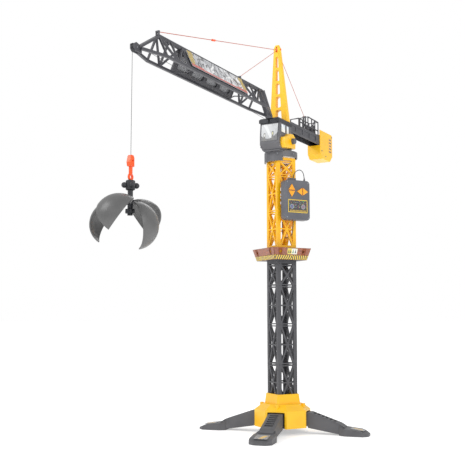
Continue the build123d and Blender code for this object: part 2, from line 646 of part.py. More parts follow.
def boom_ridge():
    """The top chord with its slanting nose and root plates, cord posts and tip ears."""
    bar = block(RIDGE_START, RIDGE_END, -RIDGE_BAR / 2, RIDGE_BAR / 2, RIDGE_Z - 3.5, RIDGE_Z + 3.5)
    nose = strut((RIDGE_END - 2, 0, RIDGE_Z), (TIP_X - 2, 0, PULLEY_Z + 2), 13, 4.5)
    root = strut((RIDGE_START + 2, 0, RIDGE_Z), (ROOT_X - 8, 0, CAB_TOP - 1), 18, 6)
    body = bar + nose + root
    for y in (-5.4, 3.2):
        ear = outline([(615, 798), (634, 798), (639, 803), (639, 812), (632, 816), (615, 811)], Plane.XZ, 2.2)
        body += Pos(0, y + 2.2, 0) * ear
    body -= block(PULLEY_X - 9, PULLEY_X + 25, -3.2, 3.2, 790, 830)
    body -= axle(PULLEY_X, -10, 10, PULLEY_Z, 1.55)
    for x, z in ((RIDGE_END, RIDGE_Z + 9), (NEAR_EYE_X, RIDGE_Z + 6)):
        body += axle(x, -4, 4, z, 2.6) + block(x - 2, x + 2, -4, -1.6, RIDGE_Z, z) + block(x - 2, x + 2, 1.6, 4, RIDGE_Z, z)
    body -= hoist_run(1.0)
    body &= block(ROOT_X - 8, 700, -40, 40, 700, 900)
    body -= block(0, CAB_FRONT + 0.6, -40, 40, 700, CAB_TOP)
    return body


def lace(points, width, depth):
    """A run of straight bars through points, with a round knuckle at each inner point."""
    body = None
    for a, b in zip(points, points[1:]):
        bar = strut(a, b, width, depth)
        body = bar if body is None else body + bar
    for p in points[1:-1]:
        body += Pos(*p) * Sphere(max(width, depth) * 0.62)
    return body


def boom_side(side):
    """One bottom chord with its lattice, cut to meet the ridge."""
    y = side * CHORD_Y
    chord = [(ROOT_X, side * 7, CAB_TOP + 6), (CHORD_START, y, CHORD_Z), (CHORD_END, y, CHORD_Z), (TIP_X - 4, side * 8, CHORD_Z)]
    body = lace(chord, CHORD_BAR, CHORD_BAR)
    top = lambda x: (x, side * 3, RIDGE_Z - 1)
    low = lambda x: (x, y, CHORD_Z)
    bays = [(CHORD_START, 2), (SIGN_END + 4, 2)]
    ends = [SIGN_START - 4, CHORD_END]
    for (start, count), end in zip(bays, ends):
        step = (end - start) / count
        for i in range(count):
            a, b = start + step * i, start + step * (i + 1)
            body += strut(low(a), top(a), LACE_BAR, LACE_BAR, (1, 0, 0))
            pair = (low(a), top(b)) if i % 2 else (top(a), low(b))
            body += strut(*pair, LACE_BAR, LACE_BAR)
        body += strut(low(end), top(end), LACE_BAR, LACE_BAR, (1, 0, 0))
    slant = math.hypot(CHORD_Y - 3, RIDGE_Z - CHORD_Z - 1)
    normal = Vector(0, side * (RIDGE_Z - CHORD_Z - 1), CHORD_Y - 3).normalized()
    face = Plane(origin=((SIGN_START + SIGN_END) / 2, side * (CHORD_Y + 3) / 2, (CHORD_Z + RIDGE_Z - 1) / 2),
                 x_dir=(1, 0, 0), z_dir=tuple(normal))
    web = face * (Rectangle(SIGN_END - SIGN_START + 10, slant))
    for i in range(4):
        web -= face * Pos((i - 1.5) * 58, 0) * RectangleRounded(45, slant - 22, 5)
    body += extrude(web, 1.2, both=True)
    for x, lean in ((SIGN_START + 2, 16), (SIGN_END - 2, -16)):
        body += rod((x, y, CHORD_Z), (x + lean, 0, CHORD_Z), 1.3)
    body -= boom_ridge()
    return body - block(0, 700, -side * 60, side * 0.2, 700, 900)


def boom_signs():
    """The printed sign plates on both slanted sides."""
    plates = []
    for side in (-1, 1):
        normal = Vector(0, side * (RIDGE_Z - CHORD_Z - 1), CHORD_Y - 3).normalized()
        middle = Vector((SIGN_START + SIGN_END) / 2, side * (CHORD_Y + 3) / 2, (CHORD_Z + RIDGE_Z - 1) / 2)
        place = Plane(origin=tuple(middle + normal * (CHORD_BAR * 0.72)), x_dir=(1, 0, 0), z_dir=tuple(normal))
        plate = extrude(place * RectangleRounded(SIGN_END - SIGN_START, 42, 2), SIGN_THICKNESS)
        plates.append(plate.solid())
    return Compound(children=plates)


def tip_pulley():
    """The grooved cord wheel at the boom tip."""
    wheel = axle(PULLEY_X, -2.6, 2.6, PULLEY_Z, PULLEY_RADIUS + 1)
    groove = Pos(PULLEY_X, 0, PULLEY_Z) * Rot(90, 0, 0) * Torus(PULLEY_RADIUS + 1.2, 1.5)
    return wheel - groove - axle(PULLEY_X, -5, 5, PULLEY_Z, 1.56)


def pulley_axle():
    """The steel pin of the tip pulley."""
    return axle(PULLEY_X, -6.4, 6.4, PULLEY_Z, 1.5)


# ---------------------------------------------------------------- counter-jib


def counter_jib():
    """The rear beam: an upside-down channel with ribs and a shallow pattern on its sides."""
    beam = block(JIB_END, JIB_START, -JIB_HALF_WIDTH, JIB_HALF_WIDTH, JIB_TOP - JIB_HEIGHT, JIB_TOP)
    beam = chamfer(beam.edges().filter_by(Axis.X), 2.0)
    inner = JIB_HALF_WIDTH - JIB_WALL
    beam -= block(JIB_END + JIB_WALL, JIB_START + 1, -inner, inner, JIB_TOP - JIB_HEIGHT - 1, JIB_TOP - JIB_WALL)
    for i in range(4):
        x = JIB_START - 32 - 44 * i
        for side in (-1, 1):
            beam -= block(x - 17, x + 17, side * (JIB_HALF_WIDTH - 1), side * 30, JIB_TOP - 22, JIB_TOP - 9)
    boss = post(-62, 0, JIB_TOP - 1, JIB_TOP + 5, 4)
    foot, head = STAY_X - 4, STAY_X - 2.6
    pair = outline([(foot, JIB_TOP - 1), (foot + 8, JIB_TOP - 1), (head + 5.2, RAIL_HIGH + 5), (head, RAIL_HIGH + 5)], Plane.XZ, 2)
    mast = Pos(0, -1.9, 0) * pair + Pos(0, 3.9, 0) * pair
    return beam + boss + mast + axle(STAY_X, -4, 4, RAIL_HIGH + 2, 2.6)


def railings():
    """The two parapet frames on the counter-jib and the bars that join them."""
    path = [(-90, JIB_TOP), (-90, RAIL_LOW), (-143, RAIL_HIGH), (-212, RAIL_HIGH - 1), (-212, JIB_TOP)]
    runs = list(zip(path, path[1:])) + [((-90, 816), (-212, 816)), ((-168, 816), (-190, RAIL_HIGH - 1))]
    runs += [((x, JIB_TOP), (x, RAIL_HIGH - 1)) for x in (-143, -168, -190)]
    sheet = None
    for (x0, z0), (x1, z1) in runs:
        turn = math.degrees(math.atan2(z1 - z0, x1 - x0))
        bar = Pos((x0 + x1) / 2, (z0 + z1) / 2) * Rot(0, 0, turn)
        bar = bar * SlotOverall(math.hypot(x1 - x0, z1 - z0) + RAIL_BAR, RAIL_BAR)
        sheet = bar if sheet is None else sheet + bar
    sheet &= Pos(-180, JIB_TOP + 50) * Rectangle(200, 100)
    frames = []
    for y in (-RAIL_Y, RAIL_Y):
        frames.append(extrude(Plane((0, y, 0), x_dir=(1, 0, 0), z_dir=(0, -1, 0)) * sheet, RAIL_BAR / 2, both=True))
    ties = [axle(x, -RAIL_Y, RAIL_Y, z, RAIL_BAR * 0.45) for x, z in ((-90, RAIL_LOW), (-212, RAIL_HIGH - 1))]
    return frames[0] + frames[1] + ties[0] + ties[1]


def deck_machine():
    """The small winch model standing on the counter-jib deck."""
    body = block(-208, -176, -8, 8, JIB_TOP, JIB_TOP + 8)
    body += axle(-192, -9, 9, JIB_TOP + 15, 8)
    for y in (-10.5, 8):
        body += outline([(-204, JIB_TOP), (-180, JIB_TOP), (-186, JIB_TOP + 24), (-198, JIB_TOP + 24)],
                        Plane((0, y + 2.5, 0), x_dir=(1, 0, 0), z_dir=(0, -1, 0)), 2.5)
    body += post(-164, 0, JIB_TOP, JIB_TOP + 14, 5)
    return body


def weight_outline(inset):
    """Side view of the counterweight, chamfered below."""
    a, b = WEIGHT_START - inset, WEIGHT_END + inset
    low, high = WEIGHT_BOTTOM + inset, WEIGHT_TOP - inset
    return [(a - 12, low), (b + 16, low), (b, low + 16), (b, high - 4), (b + 5, high), (a, high), (a, low + 12)]


def counterweight_shell():
    """The yellow counterweight box, hung over the end of the counter-jib."""
    body = outline(weight_outline(0), Plane.XZ, WEIGHT_HALF_WIDTH, both=True)
    body = chamfer(body.faces().filter_by(Axis.Y).edges(), 2.0)
    body -= outline(weight_outline(WEIGHT_WALL), Plane.XZ, WEIGHT_HALF_WIDTH - WEIGHT_WALL, both=True)
    notch = JIB_HALF_WIDTH + 0.15
    body -= block(JIB_END - 0.2, WEIGHT_START + 5, -notch, notch, JIB_TOP - JIB_HEIGHT - 0.2, WEIGHT_TOP + 5)
    for i in range(5):
        z = WEIGHT_BOTTOM + 22 + 10 * i
        body -= block(WEIGHT_END - 3, WEIGHT_END + 8, -14, 14, z, z + 4)
    return body


def ballast():
    """The steel block inside the counterweight."""
    return block(WEIGHT_END + 19, WEIGHT_START - 15, -18, 18, WEIGHT_BOTTOM + WEIGHT_WALL + 0.05, WEIGHT_BOTTOM + 34)


# ---------------------------------------------------------------- handset


def handset_plan(inset, y0, y1):
    """The rounded block of the handset between two depths, drawn in all round."""
    width, height = HANDSET_WIDTH - 2 * inset, HANDSET_TOP - HANDSET_BOTTOM - 2 * inset
    middle = (HANDSET_TOP + HANDSET_BOTTOM) / 2
    place = Plane((HANDSET_X, y0, middle), x_dir=(-1, 0, 0), z_dir=(0, 1, 0))
    return extrude(place * RectangleRounded(width, height, 9 - inset), y1 - y0)


def handset_back():
    """The rear shell with its clip, which hangs on a rung of the mast."""
    body = handset_plan(0, HANDSET_BACK, HANDSET_SPLIT)
    body = chamfer(body.faces().sort_by(Axis.Y)[0].edges(), 1.5)
    body -= handset_plan(HANDSET_WALL, HANDSET_BACK + HANDSET_WALL, HANDSET_SPLIT + 1)
    tab = Pos(-8, 40, HANDSET_TOP + 3) * Box(20, 10, 8)
    body += tab
    door = battery_bed(0.1)
    body -= door
    for z in (HANDSET_BOTTOM + 10, HANDSET_TOP - 44):
        body += block(-8, 12, MAST_WIDTH / 2 + 0.1, HANDSET_BACK + 1, z, z + 10)
    return body


def battery_bed(gap):
    """The plan of the battery door, grown by a gap."""
    return block(HANDSET_X - 27 - gap, HANDSET_X - 7 + gap, HANDSET_BACK - 1, HANDSET_BACK + HANDSET_WALL + 1, 560 - gap, 612 + gap)


def battery_door():
    """The lid over the batteries, in the back of the handset."""
    return battery_bed(0) & block(-100, 100, HANDSET_BACK + 0.2, HANDSET_BACK + HANDSET_WALL, 500, 700)


BUTTONS = {"up": (3, 616, 0), "down": (3, 599.5, 180), "left": (-20.5, 606, 90), "right": (-37, 606, -90)}


def button_face(direction, grow):
    """The triangle of one button on the front face, pointing its own way."""
    x, z, turn = BUTTONS[direction]
    half = BUTTON_SIDE / 2
    points = [(-half, -half * 0.75), (half, -half * 0.75), (0, half * 0.85)]
    place = Plane((x, HANDSET_FRONT - 8, z), x_dir=(-1, 0, 0), z_dir=(0, 1, 0))
    triangle = make_face(Polyline(*points, close=True))
    if grow:
        triangle = offset(triangle, grow, kind=Kind.INTERSECTION).face()
    return place * Rot(0, 0, turn) * triangle


def handset_front():
    """The front cover with four button wells and a shallow bed for the printed panel."""
    body = handset_plan(0, HANDSET_SPLIT + 0.02, HANDSET_FRONT)
    body = fillet(body.faces().sort_by(Axis.Y)[-1].edges(), 2.5)
    body -= handset_plan(HANDSET_WALL, HANDSET_SPLIT - 1, HANDSET_FRONT - HANDSET_WALL)
    for name in BUTTONS:
        body -= extrude(button_face(name, BUTTON_GAP), 20)
    body -= block(HANDSET_X - 29, HANDSET_X + 29, HANDSET_FRONT - 0.6, HANDSET_FRONT + 1, 551, 585)
    return body


def button(direction):
    """One triangular button with a wider foot under the cover."""
    cap = extrude(button_face(direction, 0), 8 + BUTTON_PROUD)
    cap = chamfer(cap.faces().sort_by(Axis.Y)[-1].edges(), 0.7)
    x, z, turn = BUTTONS[direction]
    foot = Pos(x, HANDSET_FRONT - 3.4, z) * Rot(90, 0, 0) * Cylinder(7.2, 2)
    return cap + foot


def handset_board():
    """The circuit board under the buttons."""
    y = HANDSET_FRONT - 12
    board = block(HANDSET_X - 33, HANDSET_X + 33, y, y + 1.6, 588, 624)
    for name in BUTTONS:
        x, z, turn = BUTTONS[name]
        board += Pos(x, y + 1.9, z) * Rot(90, 0, 0) * Cylinder(2.4, 0.9)
    return board


def batteries():
    """Three cells side by side behind the door."""
    cells = []
    for i in range(3):
        x = HANDSET_X - 17 + 15.0 * i
        cells.append(post(x, HANDSET_BACK + 9.9, HANDSET_BOTTOM + 6, HANDSET_BOTTOM + 50, 7.2).solid())
    return Compound(children=cells)


def cable_route():
    """Waypoints of the cable from the handset, over its arch and into the mast to the hank."""
    over = [(-46, 40, HANDSET_TOP + 0.2), (-46, 40, 656), (-36, 38, 668), (-22, 36, 662), (-17, 31, 647)]
    down = [(-17, 31, 600), (-16.9, 31, 556), (-17, 31, 508), (-13, 24, 492), (-9, 4, 491)]
    return over + down + [(-8.5, -9, 500), (-8.5, -9, HANK_BOTTOM - 0.1)]


def cable_rise():
    """Waypoints of the cable from the hank up into the hollow pivot post."""
    return [(-8.5, 9, HANK_TOP + 0.1), (-8.5, 9, 634), (0, 0, 656), (0, 0, POST_TOP - 14)]


def tube(points, radius, least):
    """A round cord along straight runs joined by tangent arcs; returns it and its length."""
    fillets = []
    for a, b, c in zip(points, points[1:], points[2:]):
        p, q = Vector(*b) - Vector(*a), Vector(*c) - Vector(*b)
        half = math.radians(p.get_angle(q)) / 2
        fillets.append(max(least, 0.45 * min(p.length, q.length) / math.tan(half)))
    path = FilletPolyline(*points, radius=fillets)
    start = Plane(origin=path @ 0, z_dir=path % 0)
    body = sweep(start * Circle(radius), path=path)
    share = body.volume / (math.pi * radius ** 2 * path.length)
    print("cord", [round(f, 1) for f in fillets], "length", round(path.length, 1), "volume share", round(share, 4))
    return body


def cable_hank():
    """The spare cable, folded and tied inside the mast behind the handset."""
    lump = Pos(0, 0, (HANK_BOTTOM + HANK_TOP) / 2) * Box(HANK_WIDTH, HANK_DEPTH, HANK_TOP - HANK_BOTTOM)
    return fillet(lump.edges(), 4)


# ---------------------------------------------------------------- hook and grab


def hook_block():
    """The orange block that the hoist cord ties into."""
    low, high = HOOK_NECK, HOOK_TOP
    side = [(-6, low), (6, low), (8, low + 8), (5, high - 2), (2.5, high), (-3, high), (-6, high - 5)]
    body = outline(side, Plane.XZ, 5, both=True)
    body = chamfer(body.faces().filter_by(Axis.Y).edges(), 1.2)
    body -= axle(0, -10, 10, low + 11, 1.8)
    return Pos(CORD_X, 0, 0) * body


def hook():
    """The orange hook shank and bow that carry the grab."""
    shank = post(0, 0, HOOK_BOTTOM + 11, HOOK_NECK, 3.6)
    bow = Pos(0, 0, HOOK_BOTTOM + 6) * Rot(90, 0, 0) * Torus(5.2, 2.4)
    body = shank + bow - block(-20, 20, -20, 20, HOOK_BOTTOM - 20, HOOK_BOTTOM)
    return Pos(CORD_X, 0, 0) * (body - axle(0, -10, 10, HOOK_BOTTOM + 5, 2.0))


def grab_hub():
    """The dark hub: a ring round the hook's bow, four knobs, the column and its hinge lugs."""
    body = post(0, 0, HUB_GRAB_BOTTOM, HOOK_BOTTOM - 0.4, 9)
    body = chamfer(body.edges(), 1.5)
    body += post(0, 0, COLUMN_BOTTOM, HUB_GRAB_BOTTOM + 1, 5)
    for knob in around(Pos(12, 0, HUB_GRAB_BOTTOM + 9) * Sphere(5.5), 4, GRAB_YAW + 45):
        body += knob
    for lug in around(block(4, PETAL_HINGE_R + 3, -3, 3, PETAL_HINGE_Z - 3, PETAL_HINGE_Z + 3), 4, GRAB_YAW):
        body += lug
    for hole in around(axle(PETAL_HINGE_R, -10, 10, PETAL_HINGE_Z, 1.3), 4, GRAB_YAW):
        body -= hole
    return Pos(CORD_X, 0, 0) * body


def grab_collar():
    """The collar pressed on the end of the column, under the petals."""
    ring = post(0, 0, COLUMN_BOTTOM + 4, COLUMN_BOTTOM + 12, 9)
    ring -= post(0, 0, COLUMN_BOTTOM, COLUMN_BOTTOM + 20, 5.0)
    return Pos(CORD_X, 0, 0) * chamfer(ring.edges().filter_by(GeomType.CIRCLE).group_by(Axis.Z)[-1], 0.8)


def petal():
    """One shell petal about its hinge at the origin, closed and pointing down, bulging to +X."""
    reach = math.degrees(math.asin(PETAL_HINGE_R / PETAL_RADIUS))
    centre = PETAL_RADIUS * math.cos(math.radians(reach))
    outer = Pos(-PETAL_HINGE_R, 0, -centre) * Sphere(PETAL_RADIUS)
    inner = Pos(-PETAL_HINGE_R, 0, -centre) * Sphere(PETAL_RADIUS - PETAL_SHELL)
    spread = math.tan(math.radians(PETAL_HALF_ANGLE)) * 80
    wedge = outline([(0.6, 0), (80, -spread), (80, spread)], Plane.XY, 120, both=True)
    wedge = Pos(-PETAL_HINGE_R, 0, 0) * wedge
    crown = Pos(-PETAL_HINGE_R, 0, -centre + PETAL_RADIUS) * Box(90, 90, 21)
    body = (outer - inner) & wedge
    body -= Pos(0, 0, -1.5) * Box(11, 6.8, 13)
    body -= Pos(-PETAL_HINGE_R, 0, 4) * Cylinder(PETAL_HINGE_R - 3, 18)
    body = body.solids().sort_by(SortBy.VOLUME)[-1]
    for side in (-1, 1):
        ear = Pos(1.5, side * 5.1, -2.5) * Box(9, 2.8, 9)
        body = body + ear
    body = body + Rot(90, 0, 0) * Cylinder(1.2, 11)
    return body


def place_petal(index):
    """A petal at its hinge on the grab, opened to its resting angle."""
    turn = GRAB_YAW + 90 * index
    shape = Pos(PETAL_HINGE_R, 0, PETAL_HINGE_Z) * Rot(0, -PETAL_ANGLES[index], 0) * petal()
    return Pos(CORD_X, 0, 0) * Rot(0, 0, turn) * shape


def hoist_cord():
    """The hanging part of the hoist cord, from the pulley to the hook block."""
    return post(CORD_X, 0, HOOK_TOP + 0.05, PULLEY_Z, HOIST_CORD_RADIUS)


def hoist_run(gap=0.0):
    """The part of the hoist cord inside the boom, from the cab roof to the pulley."""
    start = (WINCH_X + 26, 0, CAB_ROOF + 1.5)
    return rod(start, (PULLEY_X - 1, 0, PULLEY_Z + PULLEY_RADIUS + 0.4), HOIST_CORD_RADIUS + gap)


# ---------------------------------------------------------------- output


def main():
    save("base_shell", stand(base_shell()))
    save("base_floor", stand(base_floor()))
    save("base_fasteners", stand(joined(base_screws(), leg_pins())))
    names = ["leg_front", "leg_right", "leg_back", "leg_left"]
    for name, piece in zip(names, around(leg())):
        save(name, stand(piece))
    save("lower_mast_front", stand(mast_half(MAST_BOTTOM, MAST_JOINT, LOWER_CELLS, 0)))
    save("lower_mast_back", stand(mast_half(MAST_BOTTOM, MAST_JOINT, LOWER_CELLS, 180)))
    save("upper_mast_front", stand(mast_half(MAST_JOINT + 0.05, MAST_TOP - 0.05, UPPER_CELLS, 0)))
    save("upper_mast_back", stand(mast_half(MAST_JOINT + 0.05, MAST_TOP - 0.05, UPPER_CELLS, 180)))
    save("mast_sleeve", stand(mast_sleeve()))
    save("walkway_floor", stand(walkway_floor()))
    save("walkway_wall", stand(walkway_wall()))
    save("mast_head", stand(mast_head()))
    save("slew_retainer", slew_retainer())
    save("turntable_housing", turntable_housing())
    save("cab_shell", cab_shell())
    save("cab_windows", joined(windscreen(), side_windows()))
    save("cab_roof", cab_roof())
    save("winch_cover", winch_cover())
    save("winch_knob", winch_knob())
    save("winch_drum", winch_drum())
    save("motors", motors())
    save("slew_pinion", slew_pinion())
    save("tower_peak", tower_peak())
    save("peak_pin", peak_pin())
    save("pendants", joined(*pendants()))
    save("pendant_link", pendant_link())
    save("boom_ridge", boom_ridge())
    save("boom_side_near", boom_side(1))
    save("boom_side_far", boom_side(-1))
    save("boom_signs", boom_signs())
    save("tip_pulley", tip_pulley())
    save("pulley_axle", pulley_axle())
    save("counter_jib", counter_jib())
    save("railings", railings() + deck_machine())
    save("counterweight_shell", counterweight_shell())
    save("ballast", ballast())
    save("handset_back", stand(handset_back()))
    save("handset_front", stand(handset_front()))
    save("battery_door", stand(battery_door()))
    save("batteries", stand(batteries()))
    save("handset_board", stand(handset_board()))
    for name in BUTTONS:
        save(f"button_{name}", stand(button(name)))
    cable = joined(tube(cable_route(), CABLE_RADIUS, 10.0), tube(cable_rise(), CABLE_RADIUS, 10.0))
    save("handset_cable", stand(cable))
    save("cable_hank", stand(cable_hank()))
    save("hoist_cord", hoist_cord())
    save("hoist_run", hoist_run())
    save("hook_block", hook_block())
    save("hook", hook())
    save("grab_hub", grab_hub())
    save("grab_collar", grab_collar())
    for i in range(4):
        save(f"petal_{i + 1}", place_petal(i))


main()
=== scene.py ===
import logging
import math
from dataclasses import dataclass, field
from enum import Enum
from typing import Iterable, Protocol, Sequence

import bmesh
import bpy
from mathutils import Matrix, Vector


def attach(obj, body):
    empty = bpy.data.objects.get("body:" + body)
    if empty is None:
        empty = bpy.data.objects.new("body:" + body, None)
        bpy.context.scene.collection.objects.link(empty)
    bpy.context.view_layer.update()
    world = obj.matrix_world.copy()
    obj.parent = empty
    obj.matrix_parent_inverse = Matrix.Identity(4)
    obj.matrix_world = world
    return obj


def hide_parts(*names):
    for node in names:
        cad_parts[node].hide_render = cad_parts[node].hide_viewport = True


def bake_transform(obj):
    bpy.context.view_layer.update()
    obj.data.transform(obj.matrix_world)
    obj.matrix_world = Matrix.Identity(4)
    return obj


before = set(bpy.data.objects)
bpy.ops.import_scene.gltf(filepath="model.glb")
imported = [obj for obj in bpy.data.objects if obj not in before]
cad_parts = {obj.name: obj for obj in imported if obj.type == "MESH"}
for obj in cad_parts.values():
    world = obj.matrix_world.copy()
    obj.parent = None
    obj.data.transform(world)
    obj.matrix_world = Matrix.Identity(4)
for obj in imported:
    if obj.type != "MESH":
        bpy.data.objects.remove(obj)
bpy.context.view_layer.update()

MM = 0.001
LOG = logging.getLogger("crane")

Point = tuple[float, float, float]
Socket = bpy.types.NodeSocket
Tree = bpy.types.NodeTree


class Finish(Protocol):
    """Anything with a name that can build its own material."""

    name: str

    def build(self) -> bpy.types.Material:
        """Builds the material."""

# The stand is built square and turned by this much, so its front looks past the boom.
STAND_YAW = math.radians(-33.0)


# ------------------------------------------------------------------ shader helpers


def linear(hex_colour: str) -> tuple[float, float, float, float]:
    """Turns an sRGB hex colour into the linear RGBA that a shader wants.

    Args:
        hex_colour: Six hex digits, without a hash.

    Returns:
        Linear red, green, blue and an alpha of one.
    """
    channels = []
    for i in (0, 2, 4):
        value = int(hex_colour[i:i + 2], 16) / 255
        channels.append(value / 12.92 if value <= 0.04045 else ((value + 0.055) / 1.055) ** 2.4)
    return (channels[0], channels[1], channels[2], 1.0)


def node(tree: bpy.types.NodeTree, kind: str, inputs: dict | None = None, **settings) -> bpy.types.Node:
    """Adds a node with its settings, values and links.

    Args:
        tree: The node tree.
        kind: The node's type name.
        inputs: Socket name or index to a value, or to an output socket to link from.
        **settings: Attributes of the node.

    Returns:
        The new node.
    """
    made = tree.nodes.new(kind)
    for name, value in settings.items():
        setattr(made, name, value)
    for key, value in (inputs or {}).items():
        if isinstance(value, bpy.types.NodeSocket):
            tree.links.new(value, made.inputs[key])
        else:
            made.inputs[key].default_value = value
    return made


def new_material(name: str) -> tuple[bpy.types.Material, bpy.types.NodeTree, bpy.types.Node]:
    """Makes an empty material with a Principled shader on its output.

    Args:
        name: Name of the material.

    Returns:
        The material, its tree and the shader node.
    """
    material = bpy.data.materials.new(name)
    material.use_nodes = True
    tree = material.node_tree
    tree.nodes.clear()
    shader = node(tree, "ShaderNodeBsdfPrincipled")
    node(tree, "ShaderNodeOutputMaterial", {"Surface": shader.outputs[0]})
    return material, tree, shader


def maths(tree: Tree, operation: str, *values: float | Socket) -> Socket:
    """Adds one arithmetic step.

    Args:
        tree: The node tree.
        operation: The Math node's operation.
        *values: Numbers or sockets.

    Returns:
        The result's socket.
    """
    return node(tree, "ShaderNodeMath", dict(enumerate(values)), operation=operation).outputs[0]


def blended(tree: Tree, share: float | Socket, first: str | Socket, second: str | Socket) -> Socket:
    """Mixes two colours.

    Args:
        tree: The node tree.
        share: Number or socket, 0 for the first colour and 1 for the second.
        first: Hex colour or socket.
        second: Hex colour or socket.

    Returns:
        The mixed colour's socket.
    """
    ends = [linear(c) if isinstance(c, str) else c for c in (first, second)]
    mix = node(tree, "ShaderNodeMix", {0: share, 6: ends[0], 7: ends[1]}, data_type="RGBA")
    return mix.outputs[2]


def within(tree: Tree, value: Socket, low: float, high: float) -> Socket:
    """Gives 1 where a value lies between two limits and 0 elsewhere.

    Args:
        tree: The node tree.
        value: Socket to test.
        low: Lower limit.
        high: Upper limit.

    Returns:
        Mask socket.
    """
    above = maths(tree, "GREATER_THAN", value, low)
    below = maths(tree, "LESS_THAN", value, high)
    return maths(tree, "MULTIPLY", above, below)


# ------------------------------------------------------------------ finishes


class Grain(Enum):
    """How a mould's wall was finished, as the width of its grain in millimetres."""

    POLISHED = 6.0
    SATIN = 1.6
    SPARKED = 0.9


@dataclass(frozen=True)
class MouldedPlastic:
    """An opaque thermoplastic part as it comes from its mould.

    Real ABS and polypropylene look even but not flat: slow shade changes a few centimetres wide
    from the melt's flow, a fine grain from the mould wall, and a sheen that the grain breaks up.
    """

    name: str
    colour: str
    shade: str
    roughness: float
    grain: Grain = Grain.SATIN
    depth: float = 0.12
    coat: float = 0.0

    def build(self) -> bpy.types.Material:
        """Builds the material.

        Returns:
            The finished material.
        """
        material, tree, shader = new_material(self.name)
        place = node(tree, "ShaderNodeTexCoord").outputs["Object"]
        flow = node(tree, "ShaderNodeTexNoise", {"Vector": place, "Scale": 1 / (38 * MM), "Detail": 3.0})
        scuff = node(tree, "ShaderNodeTexNoise", {"Vector": place, "Scale": 1 / (9 * MM), "Detail": 5.0})
        grain = node(tree, "ShaderNodeTexNoise", {"Vector": place, "Scale": 1 / (self.grain.value * MM), "Detail": 2.0})
        share = node(tree, "ShaderNodeMapRange", {0: flow.outputs[0], 1: 0.35, 2: 0.7, 3: 0.0, 4: 1.0})
        tint = blended(tree, share.outputs[0], self.colour, self.shade)
        tree.links.new(tint, shader.inputs["Base Color"])
        rough = node(tree, "ShaderNodeMapRange",
                     {0: scuff.outputs[0], 1: 0.3, 2: 0.75, 3: self.roughness - 0.06, 4: self.roughness + 0.08})
        tree.links.new(rough.outputs[0], shader.inputs["Roughness"])
        bump = node(tree, "ShaderNodeBump", {"Height": grain.outputs[0], "Strength": self.depth, "Distance": 0.15 * MM})
        tree.links.new(bump.outputs[0], shader.inputs["Normal"])
        shader.inputs["IOR"].default_value = 1.53
        shader.inputs["Coat Weight"].default_value = self.coat
        shader.inputs["Coat Roughness"].default_value = 0.25
        return material


@dataclass(frozen=True)
class PlatedSteel:
    """Zinc-plated steel, drawn or rolled: bright, slightly streaked, with a soft bloom."""

    name: str
    colour: str
    roughness: float

    def build(self) -> bpy.types.Material:
        """Builds the material.

        Returns:
            The finished material.
        """
        material, tree, shader = new_material(self.name)
        place = node(tree, "ShaderNodeTexCoord").outputs["Object"]
        bloom = node(tree, "ShaderNodeTexNoise", {"Vector": place, "Scale": 1 / (5 * MM), "Detail": 4.0})
        tint = blended(tree, bloom.outputs[0], self.colour, "8f9296")
        tree.links.new(tint, shader.inputs["Base Color"])
        rough = node(tree, "ShaderNodeMapRange",
                     {0: bloom.outputs[0], 1: 0.3, 2: 0.7, 3: self.roughness - 0.08, 4: self.roughness + 0.1})
        tree.links.new(rough.outputs[0], shader.inputs["Roughness"])
        shader.inputs["Metallic"].default_value = 1.0
        return material


@dataclass(frozen=True)
class BraidedCord:
    """Polyester braid: crossing strands about a millimetre long, drawn as beads with a painted highlight at each middle
    and painted shade towards the gaps between strands.
    """

    name: str
    colour: str
    # shade: the painted shade colour, laid towards the edges of each bead between the strands.
    shade: str
    strand_mm: float = 1.1

    def build(self) -> bpy.types.Material:
        """Builds the material.

        Returns:
            The finished material.
        """
        material, tree, shader = new_material(self.name)
        place = node(tree, "ShaderNodeTexCoord").outputs["Object"]
        scale = 1 / (self.strand_mm * MM)
        rise = node(tree, "ShaderNodeTexWave", {"Vector": place, "Scale": scale * 0.16, "Distortion": 0.6},
                    bands_direction="DIAGONAL")
        # Voronoi distance paints each bead lighter at its middle and in painted shade towards the gaps between strands.
        painted_bead_shading = node(tree, "ShaderNodeTexVoronoi", {"Vector": place, "Scale": scale})
        tint = blended(tree, painted_bead_shading.outputs["Distance"], self.colour, self.shade)
        tree.links.new(tint, shader.inputs["Base Color"])
        bump = node(tree, "ShaderNodeBump", {"Height": rise.outputs[1], "Strength": 0.4, "Distance": 0.2 * MM})
        tree.links.new(bump.outputs[0], shader.inputs["Normal"])
        shader.inputs["Roughness"].default_value = 0.75
        shader.inputs["Sheen Weight"].default_value = 0.3
        return material


